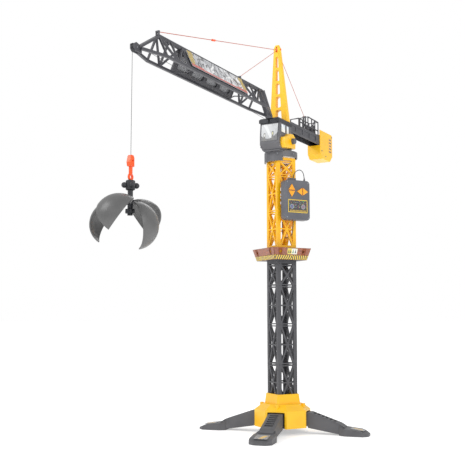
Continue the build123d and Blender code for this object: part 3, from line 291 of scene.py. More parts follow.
@dataclass(frozen=True)
class PrintedLabel:
    """A laminated paper print: even ink under a thin clear film that keeps a soft gloss.

    The picture is worked out from the label's own UV map, whose unit is one label.
    """

    name: str

    def start(self) -> tuple[bpy.types.Material, Tree, bpy.types.Node, Socket, Socket]:
        """Makes the film and splits the label's map.

        Returns:
            The material, its tree, the shader, and the sockets along and across the label.
        """
        material, tree, shader = new_material(self.name)
        uv = node(tree, "ShaderNodeUVMap", uv_map="label").outputs[0]
        parts = node(tree, "ShaderNodeSeparateXYZ", {0: uv})
        shader.inputs["Roughness"].default_value = 0.34
        shader.inputs["Coat Weight"].default_value = 0.35
        shader.inputs["Coat Roughness"].default_value = 0.18
        return material, tree, shader, parts.outputs[0], parts.outputs[1]

    def stripes(self, tree: Tree, u: Socket, v: Socket, count: float, slant: float) -> Socket:
        """Draws slanted bars.

        Args:
            tree: The node tree.
            u: Socket along the label.
            v: Socket across the label.
            count: Bars along one label.
            slant: How far a bar leans over the label's height, in bar pitches.

        Returns:
            Mask of the dark bars.
        """
        lean = maths(tree, "MULTIPLY_ADD", v, slant, maths(tree, "MULTIPLY", u, count))
        return maths(tree, "GREATER_THAN", maths(tree, "FRACT", lean), 0.5)

    def close(self, tree: Tree, shader: bpy.types.Node, colour: Socket) -> None:
        """Lays the ink with a fine paper grain and connects it.

        Args:
            tree: The node tree.
            shader: The Principled node.
            colour: Socket of the picture's colour.
        """
        place = node(tree, "ShaderNodeTexCoord").outputs["Object"]
        paper = node(tree, "ShaderNodeTexNoise", {"Vector": place, "Scale": 1 / (2.5 * MM), "Detail": 4.0})
        share = maths(tree, "MULTIPLY", paper.outputs[0], 0.1)
        tree.links.new(blended(tree, share, colour, "ffffff"), shader.inputs["Base Color"])
        bump = node(tree, "ShaderNodeBump", {"Height": paper.outputs[0], "Strength": 0.05, "Distance": 0.1 * MM})
        tree.links.new(bump.outputs[0], shader.inputs["Normal"])


YELLOW_INK = "e9c420"
BLACK_INK = "1d1d1f"


@dataclass(frozen=True)
class HazardPrint(PrintedLabel):
    """Yellow and black hazard bars that meet in a chevron at the middle of the label."""

    count: float = 15.0
    slant: float = 1.0

    def build(self) -> bpy.types.Material:
        """Builds the material.

        Returns:
            The finished material.
        """
        material, tree, shader, u, v = self.start()
        folded = maths(tree, "ABSOLUTE", maths(tree, "SUBTRACT", u, 0.5))
        bars = self.stripes(tree, folded, v, self.count, self.slant)
        self.close(tree, shader, blended(tree, bars, YELLOW_INK, BLACK_INK))
        return material


@dataclass(frozen=True)
class BoomSignPrint(PrintedLabel):
    """The long boom sign: pale grey sky with steel shapes, striped ends and a red foot line."""

    def build(self) -> bpy.types.Material:
        """Builds the material.

        Returns:
            The finished material.
        """
        material, tree, shader, u, v = self.start()
        spot = node(tree, "ShaderNodeCombineXYZ", {0: maths(tree, "MULTIPLY", u, 6.4), 1: v}).outputs[0]
        cloud = node(tree, "ShaderNodeTexNoise", {"Vector": spot, "Scale": 0.9, "Detail": 3.0, "Distortion": 0.8})
        sweep = node(tree, "ShaderNodeTexNoise", {"Vector": spot, "Scale": 1.3, "Detail": 0.6, "Distortion": 1.6})
        steel = node(tree, "ShaderNodeTexVoronoi", {"Vector": spot, "Scale": 1.6}, distance="MANHATTAN")
        haze = node(tree, "ShaderNodeMapRange", {0: cloud.outputs[0], 1: 0.35, 2: 0.65})
        base = blended(tree, haze.outputs[0], "8d8f94", "dcdde0")
        ribbon = within(tree, sweep.outputs[0], 0.46, 0.535)
        base = blended(tree, maths(tree, "MULTIPLY", ribbon, 0.92), base, "2f3034")
        shine = within(tree, sweep.outputs[0], 0.6, 0.66)
        base = blended(tree, maths(tree, "MULTIPLY", shine, 0.9), base, "f5f5f4")
        shard = maths(tree, "LESS_THAN", steel.outputs["Distance"], 0.2)
        shards = maths(tree, "MULTIPLY", shard, within(tree, v, 0.15, 0.75))
        base = blended(tree, maths(tree, "MULTIPLY", shards, 0.75), base, "3b3c40")
        spark = maths(tree, "LESS_THAN", steel.outputs["Distance"], 0.09)
        gold = maths(tree, "MULTIPLY", spark, within(tree, u, 0.6, 0.95))
        base = blended(tree, gold, base, "b99a4e")
        folded = maths(tree, "ABSOLUTE", maths(tree, "SUBTRACT", u, 0.5))
        ends = maths(tree, "GREATER_THAN", maths(tree, "MULTIPLY_ADD", v, 0.03, folded), 0.442)
        bars = self.stripes(tree, folded, v, 36.0, -1.3)
        base = blended(tree, ends, base, blended(tree, bars, YELLOW_INK, BLACK_INK))
        thick = maths(tree, "MULTIPLY_ADD", maths(tree, "GREATER_THAN", folded, 0.3), 0.07, 0.09)
        line = maths(tree, "LESS_THAN", v, thick)
        self.close(tree, shader, blended(tree, line, base, "c0402c"))
        return material


@dataclass(frozen=True)
class WindscreenPrint(PrintedLabel):
    """The cab's front print: pale glass with a slanted glint, and seat backs and levers low down."""

    def build(self) -> bpy.types.Material:
        """Builds the material.

        Returns:
            The finished material.
        """
        material, tree, shader, u, v = self.start()
        glass = blended(tree, v, "9fa2a5", "d3d5d6")
        glint = within(tree, maths(tree, "MULTIPLY_ADD", v, 0.5, u), 0.62, 0.8)
        glass = blended(tree, maths(tree, "MULTIPLY", glint, 0.5), glass, "eef0f0")
        middle = maths(tree, "ABSOLUTE", maths(tree, "SUBTRACT", u, 0.44))
        bowl = maths(tree, "MULTIPLY_ADD", maths(tree, "MULTIPLY", middle, middle), 1.1, 0.13)
        desk = maths(tree, "LESS_THAN", v, bowl)
        glass = blended(tree, desk, glass, "4a4a4d")
        for centre, width, top in ((0.2, 0.055, 0.48), (0.7, 0.06, 0.55)):
            beside = within(tree, u, centre - width, centre + width)
            lever = maths(tree, "MULTIPLY", beside, maths(tree, "LESS_THAN", v, top))
            glass = blended(tree, lever, glass, "55534e")
            knob = width * 0.55
            beside = within(tree, u, centre - knob, centre + knob)
            cap = maths(tree, "MULTIPLY", beside, within(tree, v, top - 0.2, top - 0.06))
            glass = blended(tree, cap, glass, "c9c58e" if centre > 0.5 else "d8d8d2")
        self.close(tree, shader, glass)
        return material


@dataclass(frozen=True)
class SideGlassPrint(PrintedLabel):
    """A side pane: light blue fading to white, with a dark rubber line all round."""

    def build(self) -> bpy.types.Material:
        """Builds the material.

        Returns:
            The finished material.
        """
        material, tree, shader, u, v = self.start()
        glass = blended(tree, v, "f0efe0", "c9dbe8")
        glint = within(tree, maths(tree, "MULTIPLY_ADD", v, 0.7, u), 0.75, 1.0)
        glass = blended(tree, maths(tree, "MULTIPLY", glint, 0.8), glass, "ffffff")
        inside = maths(tree, "MULTIPLY", within(tree, u, 0.08, 0.92), within(tree, v, 0.05, 0.95))
        self.close(tree, shader, blended(tree, inside, "3c3f47", glass))
        return material


@dataclass(frozen=True)
class WalkwayPrint(PrintedLabel):
    """A walkway face: rust-brown painted planks with a darker weathered mottle."""

    def build(self) -> bpy.types.Material:
        """Builds the material.

        Returns:
            The finished material.
        """
        material, tree, shader, u, v = self.start()
        spot = node(tree, "ShaderNodeCombineXYZ", {0: maths(tree, "MULTIPLY", u, 3.0), 1: v}).outputs[0]
        mottle = node(tree, "ShaderNodeTexNoise", {"Vector": spot, "Scale": 4.0, "Detail": 5.0, "Distortion": 0.5})
        share = node(tree, "ShaderNodeMapRange", {0: mottle.outputs[0], 1: 0.35, 2: 0.68})
        rust = blended(tree, share.outputs[0], "74330f", "a8521f")
        planks = maths(tree, "LESS_THAN", maths(tree, "FRACT", maths(tree, "MULTIPLY", v, 4.0)), 0.1)
        rust = blended(tree, maths(tree, "MULTIPLY", planks, 0.45), rust, "5c2a17")
        seams = maths(tree, "LESS_THAN", maths(tree, "FRACT", maths(tree, "MULTIPLY", u, 6.0)), 0.03)
        self.close(tree, shader, blended(tree, maths(tree, "MULTIPLY", seams, 0.5), rust, "5c2a17"))
        return material


@dataclass(frozen=True)
class NoticePrint(PrintedLabel):
    """A small notice: yellow left half and white right half with plain dark and green marks."""

    def build(self) -> bpy.types.Material:
        """Builds the material.

        Returns:
            The finished material.
        """
        material, tree, shader, u, v = self.start()
        sheet = blended(tree, maths(tree, "GREATER_THAN", u, 0.42), "e8cf3a", "e9e6dc")
        for centre, ink in ((0.14, "2f4a2c"), (0.31, "3a3a30"), (0.56, "4c8a3f"), (0.8, "33344a")):
            away = maths(tree, "ABSOLUTE", maths(tree, "SUBTRACT", u, centre))
            reach = maths(tree, "MULTIPLY_ADD", v, -0.11, 0.1)
            mark = maths(tree, "MULTIPLY", maths(tree, "LESS_THAN", away, reach), within(tree, v, 0.2, 0.82))
            sheet = blended(tree, mark, sheet, ink)
        inside = maths(tree, "MULTIPLY", within(tree, u, 0.025, 0.975), within(tree, v, 0.07, 0.93))
        self.close(tree, shader, blended(tree, inside, "b0a06a", sheet))
        return material


@dataclass(frozen=True)
class DialPrint(PrintedLabel):
    """The handset's printed panel: dark board with round dials, lamps and bar gauges in a yellow line."""

    def build(self) -> bpy.types.Material:
        """Builds the material.

        Returns:
            The finished material.
        """
        material, tree, shader, u, v = self.start()
        speck = node(tree, "ShaderNodeCombineXYZ", {0: maths(tree, "MULTIPLY", u, 1.75), 1: v}).outputs[0]
        cell = node(tree, "ShaderNodeTexVoronoi", {"Vector": speck, "Scale": 8.0, "Randomness": 0.3})
        board = blended(tree, maths(tree, "MULTIPLY", cell.outputs["Distance"], 0.5), "0b0b0f", "24242c")
        tints = node(tree, "ShaderNodeHueSaturation", {"Color": cell.outputs["Color"], "Value": 0.75})
        lamp = maths(tree, "LESS_THAN", cell.outputs["Distance"], 0.27)
        lamp = maths(tree, "MULTIPLY", lamp, within(tree, v, 0.3, 0.92))
        board = blended(tree, maths(tree, "MULTIPLY", lamp, 0.85), board, tints.outputs[0])
        for centre, across in ((0.2, "3f5f8e"), (0.78, "6f6b80")):
            du = maths(tree, "MULTIPLY", maths(tree, "SUBTRACT", u, centre), 1.75)
            dv = maths(tree, "SUBTRACT", v, 0.46)
            square = maths(tree, "MULTIPLY_ADD", dv, dv, maths(tree, "MULTIPLY", du, du))
            away = maths(tree, "SQRT", square)
            board = blended(tree, within(tree, away, 0.15, 0.175), board, "b5b5b2")
            board = blended(tree, maths(tree, "LESS_THAN", away, 0.15), board, across)
            needle = maths(tree, "LESS_THAN", maths(tree, "ABSOLUTE", maths(tree, "SUBTRACT", du, dv)), 0.02)
            needle = maths(tree, "MULTIPLY", needle, maths(tree, "LESS_THAN", away, 0.14))
            board = blended(tree, needle, board, "b03a2e")
        bars = maths(tree, "GREATER_THAN", maths(tree, "FRACT", maths(tree, "MULTIPLY", u, 14.0)), 0.4)
        strip = maths(tree, "MULTIPLY", within(tree, v, 0.08, 0.2), within(tree, u, 0.08, 0.92))
        board = blended(tree, maths(tree, "MULTIPLY", bars, strip), board, "c9a227")
        inside = maths(tree, "MULTIPLY", within(tree, u, 0.03, 0.97), within(tree, v, 0.055, 0.945))
        self.close(tree, shader, blended(tree, inside, YELLOW_INK, board))
        return material


@dataclass(frozen=True)
class LegPrint(PrintedLabel):
    """The print on a leg's foot: worn grey steel with a slanted yellow bar and a dark ladder."""

    def build(self) -> bpy.types.Material:
        """Builds the material.

        Returns:
            The finished material.
        """
        material, tree, shader, u, v = self.start()
        away = maths(tree, "ABSOLUTE", maths(tree, "SUBTRACT", v, 0.5))
        spot = node(tree, "ShaderNodeCombineXYZ", {0: u, 1: v}).outputs[0]
        worn = node(tree, "ShaderNodeTexNoise", {"Vector": spot, "Scale": 9.0, "Detail": 4.0})
        share = node(tree, "ShaderNodeMapRange", {0: worn.outputs[0], 1: 0.4, 2: 0.62})
        plate = blended(tree, share.outputs[0], "58585b", "a3a3a2")
        rungs = maths(tree, "GREATER_THAN", maths(tree, "FRACT", maths(tree, "MULTIPLY", u, 7.0)), 0.6)
        rungs = maths(tree, "MULTIPLY", rungs, within(tree, v, 0.08, 0.34))
        plate = blended(tree, rungs, plate, "202024")
        bend = maths(tree, "MULTIPLY_ADD", u, 0.35, v)
        amber = maths(tree, "MULTIPLY", within(tree, bend, 0.62, 0.9), within(tree, u, 0.16, 0.86))
        plate = blended(tree, amber, plate, "e3b21c")
        edge = maths(tree, "GREATER_THAN", away, 0.46)
        self.close(tree, shader, blended(tree, edge, plate, "3c3c3f"))
        return material


@dataclass(frozen=True)
class LouvrePrint(PrintedLabel):
    """Black louvre bars of uneven length on yellow, on the counterweight's sides."""

    def build(self) -> bpy.types.Material:
        """Builds the material.

        Returns:
            The finished material.
        """
        material, tree, shader, u, v = self.start()
        rows = maths(tree, "MULTIPLY", v, 5.0)
        bar = within(tree, maths(tree, "FRACT", rows), 0.3, 0.72)
        step = maths(tree, "FRACT", maths(tree, "MULTIPLY", maths(tree, "FLOOR", rows), 0.37))
        low = maths(tree, "MULTIPLY_ADD", step, 0.16, 0.12)
        high = maths(tree, "SUBTRACT", 0.94, low)
        length = maths(tree, "MULTIPLY", maths(tree, "GREATER_THAN", u, low), maths(tree, "LESS_THAN", u, high))
        self.close(tree, shader, blended(tree, maths(tree, "MULTIPLY", bar, length), "f7b50c", "26241f"))
        return material


@dataclass(frozen=True)
class StudioGround:
    """A matt pale floor that glows a little, so that it meets the white surround without a line."""

    name: str = "studio_floor_matt"

    def build(self) -> bpy.types.Material:
        """Builds the material.

        Returns:
            The finished material.
        """
        material, tree, shader = new_material(self.name)
        shader.inputs["Base Color"].default_value = linear("f4f4f4")
        shader.inputs["Roughness"].default_value = 0.9
        shader.inputs["Specular IOR Level"].default_value = 0.1
        shader.inputs["Emission Color"].default_value = linear("ffffff")
        shader.inputs["Emission Strength"].default_value = 0.42
        return material


YELLOW_ABS = MouldedPlastic("abs_yellow_gloss_moulded", "ffc800", "fbbe00", 0.36, Grain.POLISHED, 0.05, 0.25)
GOLD_ABS = MouldedPlastic("abs_orange_yellow_moulded", "ffc000", "fbb400", 0.38, Grain.POLISHED, 0.05, 0.2)
GREY_ABS = MouldedPlastic("abs_dark_grey_satin_moulded", "4e4e52", "434347", 0.5)
CAB_ABS = MouldedPlastic("abs_mid_grey_satin_moulded", "646468", "5a5a5e", 0.46)
BOOM_ABS = MouldedPlastic("abs_slate_grey_satin_moulded", "4b4b50", "404045", 0.46)
LEG_ABS = MouldedPlastic("abs_warm_grey_sparked", "5b5b5e", "505053", 0.55, Grain.SPARKED, 0.2)
HANDSET_ABS = MouldedPlastic("abs_handset_grey_satin", "626369", "585960", 0.44)
SHELL_PP = MouldedPlastic("polypropylene_shell_grey", "606060", "555555", 0.36, Grain.POLISHED, 0.06, 0.1)
DARK_ABS = MouldedPlastic("abs_charcoal_moulded", "313338", "27292d", 0.5)
ORANGE_ABS = MouldedPlastic("abs_signal_orange_moulded", "fb5a00", "ee4c00", 0.35, Grain.POLISHED, 0.05, 0.2)
BUTTON_ABS = MouldedPlastic("abs_amber_button_moulded", "ffb11c", "f8a010", 0.33, Grain.POLISHED, 0.04, 0.3)
ACETAL = MouldedPlastic("acetal_natural_moulded", "e2e0d8", "d3d1c8", 0.4)
BOARD = MouldedPlastic("glass_fibre_board_green", "1f5b34", "184a2a", 0.4)
CABLE_PVC = MouldedPlastic("pvc_cable_sheath_grey", "4c4e52", "3f4145", 0.5)
STEEL = PlatedSteel("steel_zinc_plated", "b9bcc0", 0.34)
# Each braid's second colour is its painted shade between the strands.
TIE_CORD = BraidedCord("polyester_braid_orange", "d2501e", "a83c14")
HOIST_CORD = BraidedCord("polyester_braid_grey", "2f3135", "232528", 0.9)


class FinishShelf:
    """Builds each finish once and hands it out by name."""

    def __init__(self) -> None:
        """Starts with nothing built."""
        self._made: dict[str, bpy.types.Material] = {}

    def get(self, finish: Finish) -> bpy.types.Material:
        """Gives a finish's material.

        Args:
            finish: A finish with a name and a build method.

        Returns:
            Its material, built on first use.
        """
        if finish.name not in self._made:
            self._made[finish.name] = finish.build()
        return self._made[finish.name]


SHELF = FinishShelf()


# ------------------------------------------------------------------ mesh helpers


def stand_point(point: Point) -> Vector:
    """Turns a point of the square stand, in millimetres, into the crane's frame.

    Args:
        point: The point before the stand is turned.

    Returns:
        The point in metres.
    """
    return Matrix.Rotation(STAND_YAW, 3, "Z") @ (Vector(point) * MM)


def finish_piece(name: str, mesh: bpy.types.Mesh, finish: Finish, body: str) -> bpy.types.Object:
    """Links a mesh, gives it its finish and lets it ride.

    Args:
        name: The piece's name.
        mesh: Its mesh, already in place.
        finish: Its finish.
        body: The body it rides on.

    Returns:
        The object.
    """
    obj = bpy.data.objects.new(name, mesh)
    bpy.context.scene.collection.objects.link(obj)
    obj.data.materials.clear()
    obj.data.materials.append(SHELF.get(finish))
    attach(obj, body)
    LOG.info("piece %s on %s", name, body)
    return obj


def rectangle(ends: Sequence[float], heights: Sequence[float]) -> tuple[tuple[float, float], ...]:
    """Lists a rectangle's corners: along the lower edge, then back along the upper one.

    Args:
        ends: Where the edges start and end.
        heights: Heights of the lower and the upper edge.

    Returns:
        Four corners.
    """
    (start, end), (low, high) = ends, heights
    return ((start, low), (end, low), (end, high), (start, high))


def label_mesh(name: str, corners: Sequence[Vector], thickness: float) -> bpy.types.Mesh:
    """Makes a thin label with its own map, one unit over its face.

    Args:
        name: Name of the mesh.
        corners: The four corners of the face, lower left first, seen from outside.
        thickness: Thickness of the film, in metres.

    Returns:
        A closed mesh whose outer face carries the map "label".
    """
    a, b, c, d = corners
    normal = (b - a).cross(d - a).normalized()
    front = [p + normal * thickness for p in (a, b, c, d)]
    points = [a, b, c, d] + front
    faces = [(4, 5, 6, 7), (3, 2, 1, 0), (0, 1, 5, 4), (1, 2, 6, 5), (2, 3, 7, 6), (3, 0, 4, 7)]
    mesh = bpy.data.meshes.new(name)
    mesh.from_pydata([tuple(p) for p in points], [], faces)
    layer = mesh.uv_layers.new(name="label")
    corner_map = {0: (0, 0), 1: (1, 0), 2: (1, 1), 3: (0, 1)}
    for loop in mesh.loops:
        layer.data[loop.index].uv = corner_map[loop.vertex_index % 4]
    mesh.validate()
    return mesh


def stick(name: str, corners: Sequence[Vector], finish: Finish, body: str,
          thickness: float = 0.3 * MM) -> bpy.types.Object:
    """Sticks a printed label on a surface.

    Args:
        name: The piece's name.
        corners: The label's four corners, lower left first, seen from outside.
        finish: Its print.
        body: The body it rides on.
        thickness: Film thickness in metres.

    Returns:
        The label.
    """
    return finish_piece(name, label_mesh(name, corners, thickness), finish, body)


def turned_mesh(name: str, centre: Vector, profile: Sequence[tuple[float, float]], sides: int) -> bpy.types.Mesh:
    """Turns a profile about an upright line and closes both ends.

    Args:
        name: Name of the mesh.
        centre: A point on the line, in metres.
        profile: Height and radius of each ring from the bottom up, in millimetres.
        sides: How many sides each ring has.

    Returns:
        The closed mesh.
    """
    mesh = bpy.data.meshes.new(name)
    shape = bmesh.new()
    turns = [2 * math.pi * i / sides for i in range(sides)]
    rings = []
    for z, radius in profile:
        spots = [Vector((radius * math.cos(t), radius * math.sin(t), z)) * MM for t in turns]
        rings.append([shape.verts.new(centre + spot) for spot in spots])
    for low, high in zip(rings, rings[1:]):
        for i in range(sides):
            k = (i + 1) % sides
            shape.faces.new((low[i], low[k], high[k], high[i]))
    shape.faces.new(rings[0])
    shape.faces.new(rings[-1])
    bmesh.ops.recalc_face_normals(shape, faces=shape.faces)
    shape.to_mesh(mesh)
    shape.free()
    return mesh


def dress(finish: Finish, *names: str) -> None:
    """Gives CAD nodes a finish.

    Args:
        finish: The finish.
        *names: Node names.
    """
    for name in names:
        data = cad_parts[name].data
        data.materials.clear()
        data.materials.append(SHELF.get(finish))
        LOG.info("dressed %s as %s", name, finish.name)


# ------------------------------------------------------------------ repeated fittings


class Fitting(Enum):
    """Kinds of repeated fitting."""

    SCREW = "screw"
    RIVET = "rivet"


@dataclass
class FittingRow:
    """Screws or rivets set on a surface by a Geometry Nodes tree.

    Each vertex of the carrier mesh holds one fitting, whose axis is the vertex's "facing".
    """

    name: str
    kind: Fitting
    radius: float
    height: float
    finish: MouldedPlastic | PlatedSteel
    body: str
    slot: str
    places: list[tuple[Vector, Vector]] = field(default_factory=list)

    def _tree(self) -> bpy.types.NodeTree:
        """Builds the tree that puts a head at each point.

        Returns:
            A node group with inputs Radius, Height and Sides.
        """
        tree = bpy.data.node_groups.new(self.name + "_tree", "GeometryNodeTree")
        face = tree.interface
        face.new_socket("Geometry", in_out="INPUT", socket_type="NodeSocketGeometry")
        face.new_socket("Radius", in_out="INPUT", socket_type="NodeSocketFloat")
        face.new_socket("Height", in_out="INPUT", socket_type="NodeSocketFloat")
        face.new_socket("Sides", in_out="INPUT", socket_type="NodeSocketInt")
        face.new_socket("Geometry", in_out="OUTPUT", socket_type="NodeSocketGeometry")
        given = node(tree, "NodeGroupInput").outputs
        rim = node(tree, "GeometryNodeMeshCylinder",
                   {"Vertices": given["Sides"], "Radius": given["Radius"], "Depth": given["Height"]})
        half = maths(tree, "MULTIPLY", given["Height"], 0.5)
        lift = node(tree, "ShaderNodeCombineXYZ", {2: half}).outputs[0]
        rim = node(tree, "GeometryNodeTransform", {"Geometry": rim.outputs[0], "Translation": lift})
        parts = [rim.outputs[0]]
        top = node(tree, "ShaderNodeCombineXYZ", {2: given["Height"]}).outputs[0]
        if self.kind is Fitting.RIVET:
            dome = node(tree, "GeometryNodeMeshUVSphere", {"Segments": given["Sides"], "Rings": 8, "Radius": given["Radius"]})
            squash = node(tree, "ShaderNodeCombineXYZ", {0: 0.96, 1: 0.96, 2: 0.45}).outputs[0]
            dome = node(tree, "GeometryNodeTransform", {"Geometry": dome.outputs[0], "Translation": top, "Scale": squash})
            parts.append(dome.outputs[0])
        else:
            wide = maths(tree, "MULTIPLY", given["Radius"], 1.25)
            thin = maths(tree, "MULTIPLY", given["Radius"], 0.26)
            for turn in (0.0, math.pi / 2):
                size = node(tree, "ShaderNodeCombineXYZ", {0: wide, 1: thin, 2: thin}).outputs[0]
                bar = node(tree, "GeometryNodeMeshCube", {"Size": size})
                bar = node(tree, "GeometryNodeTransform",
                           {"Geometry": bar.outputs[0], "Translation": top, "Rotation": (0, 0, turn)})
                parts.append(bar.outputs[0])
        join = node(tree, "GeometryNodeJoinGeometry")
        for part in parts:
            tree.links.new(part, join.inputs[0])
        facing = node(tree, "GeometryNodeInputNamedAttribute", {"Name": "facing"}, data_type="FLOAT_VECTOR")
        align = node(tree, "FunctionNodeAlignRotationToVector", {"Vector": facing.outputs[0]}, axis="Z")
        points = node(tree, "GeometryNodeMeshToPoints", {"Mesh": given["Geometry"]})
        heads = node(tree, "GeometryNodeInstanceOnPoints",
                     {"Points": points.outputs[0], "Instance": join.outputs[0], "Rotation": align.outputs[0]})
        real = node(tree, "GeometryNodeRealizeInstances", {0: heads.outputs[0]})
        done = node(tree, "GeometryNodeSetMaterial", {"Geometry": real.outputs[0], "Material": SHELF.get(self.finish)})
        node(tree, "NodeGroupOutput", {0: done.outputs[0]})
        return tree

    def build(self) -> bpy.types.Object:
        """Evaluates the tree to a plain mesh and lets it ride.

        Returns:
            The fittings as one piece.
        """
        carrier = bpy.data.meshes.new(self.name + "_points")
        carrier.from_pydata([tuple(p) for p, _ in self.places], [], [])
        layer = carrier.attributes.new("facing", "FLOAT_VECTOR", "POINT")
        for i, (_, normal) in enumerate(self.places):
            layer.data[i].vector = normal
        holder = bpy.data.objects.new(self.name + "_carrier", carrier)
        bpy.context.scene.collection.objects.link(holder)
        modifier = holder.modifiers.new("fittings", "NODES")
        tree = self._tree()
        modifier.node_group = tree
        sizes = {"Radius": self.radius, "Height": self.height, "Sides": 14}
        for item in tree.interface.items_tree:
            if item.in_out == "INPUT" and item.name in sizes:
                modifier[item.identifier] = sizes[item.name]
        bpy.context.view_layer.update()
        evaluated = holder.evaluated_get(bpy.context.evaluated_depsgraph_get())
        mesh = bpy.data.meshes.new_from_object(evaluated)
        holder.modifiers.clear()
        bpy.data.objects.remove(holder)
        mesh.name = self.name
        return finish_piece(self.name, mesh, self.finish, self.body)


# ------------------------------------------------------------------ sub-assemblies


@dataclass
class Base:
    """The yellow hub with its four plug-in legs."""

    leg_directions: tuple[float, ...] = (45.0, 135.0, 225.0, 315.0)
    print_radius: float = 190.0
    print_height: float = 14.75
    print_half: float = 16.5
    foot_slope: float = math.radians(7.5)

    def dress(self) -> None:
        """Gives the CAD pieces of the base their finishes."""
        dress(YELLOW_ABS, "base_shell")
        dress(GREY_ABS, "base_floor")
        dress(STEEL, "base_fasteners")
        dress(LEG_ABS, "leg_front", "leg_right", "leg_back", "leg_left")

    def labels(self) -> None:
        """Sticks the printed strip in the bed on each foot."""
        for i, direction in enumerate(self.leg_directions):
            turn = Matrix.Rotation(math.radians(direction), 3, "Z")
            centre = Vector((self.print_radius, 0.0, self.print_height))
            along = Vector((math.cos(self.foot_slope), 0, -math.sin(self.foot_slope)))
            across = Vector((0, 1, 0))
            half = self.print_half
            signs = ((-1, -1), (1, -1), (1, 1), (-1, 1))
            corners = [turn @ (centre + (along * u + across * v) * half) for u, v in signs]
            print_finish = LegPrint("label_foot_strip")
            stick(f"foot_strip_{i + 1}", [stand_point(c) for c in corners], print_finish, "stand")

    def build(self) -> None:
        """Builds everything on the base."""
        self.dress()
        self.labels()


@dataclass
class Mast:
    """Both lattice sections with the fixed head."""

    half_width: float = 27.5

    def dress(self) -> None:
        """Gives the mast's CAD pieces their finishes."""
        dress(GREY_ABS, "lower_mast_front", "lower_mast_back", "mast_sleeve")
        dress(GOLD_ABS, "upper_mast_front", "upper_mast_back")
        dress(ACETAL, "mast_head", "slew_retainer", "slew_pinion")

    def rivets(self) -> None:
        """Sets a rivet at each end of the twin rungs on all four faces."""
        rows = {"rung_rivets_lower": ((169.0, 268.0, 367.0, 422.0), GREY_ABS, "grey_plastic"),
                "rung_rivets_upper": ((558.0, 650.0, 689.0), GOLD_ABS, "yellow_plastic")}
        for name, (heights, finish, slot) in rows.items():
            row = FittingRow(name, Fitting.RIVET, 1.7 * MM, 0.5 * MM, finish, "stand", slot)
            for quarter in range(4):
                turn = Matrix.Rotation(math.pi / 2 * quarter, 3, "Z")
                for z in heights:
                    for x in (-22.5, 22.5):
                        spot = turn @ Vector((x, self.half_width - 0.1, z))
                        outward = stand_point(turn @ Vector((0, 1, 0))).normalized()
                        row.places.append((stand_point(spot), outward))
            row.build()

    def build(self) -> None:
        """Builds everything on the mast."""
        self.dress()
        self.rivets()


@dataclass
class Walkway:
    """The printed walkway round the mast joint."""

    low: float = 47.0
    high: float = 55.0
    bottom: float = 432.0
    top: float = 462.0

    def face_point(self, along: float, share: float, quarter: int) -> Vector:
        """Finds a point on one slanted face.

        Args:
            along: Place along the face from -1 to 1.
            share: Height from 0 at the bottom to 1 at the top.
            quarter: Which face, counted anticlockwise from the front.

        Returns:
            The point in metres.
        """
        out = self.low + (self.high - self.low) * share
        turn = Matrix.Rotation(math.pi / 2 * quarter, 3, "Z")
        height = self.bottom + (self.top - self.bottom) * share
        return stand_point(turn @ Vector((-along * out, out + 0.05, height)))

    def strip(self, name: str, quarter: int, ends: tuple[float, float], heights: tuple[float, float],
              finish: Finish) -> None:
        """Sticks one label on a face.

        Args:
            name: The piece's name.
            quarter: Which face.
            ends: Left and right ends, from -1 to 1.
            heights: Lower and upper edges, from 0 to 1.
            finish: The print.
        """
        spots = rectangle(ends, heights)
        stick(name, [self.face_point(a, h, quarter) for a, h in spots], finish, "stand")

    def build(self) -> None:
        """Builds everything on the walkway."""
        dress(GREY_ABS, "walkway_floor")
        dress(MouldedPlastic("polystyrene_rust_brown_printed", "8c4418", "733413", 0.5), "walkway_wall")
        hazard = HazardPrint("label_hazard_chevron")
        planks = WalkwayPrint("label_walkway_planks")
        for quarter in range(4):
            self.strip(f"walkway_hazard_{quarter + 1}", quarter, (-0.985, 0.985), (0.02, 0.37), hazard)
            self.strip(f"walkway_planks_{quarter + 1}", quarter, (-0.55, 0.55), (0.4, 0.985), planks)
            for side in (-1, 1):
                self.strip(f"walkway_end_{quarter + 1}_{'left' if side < 0 else 'right'}", quarter,
                           (0.76, 0.985) if side > 0 else (-0.985, -0.76), (0.4, 0.985), planks)
        lift = stand_point((0, 0.35, 0))
        spots = [self.face_point(a, h, 0) + lift for a, h in rectangle((-0.27, 0.29), (0.44, 0.95))]
        stick("walkway_notice", spots, NoticePrint("label_notice"), "stand")


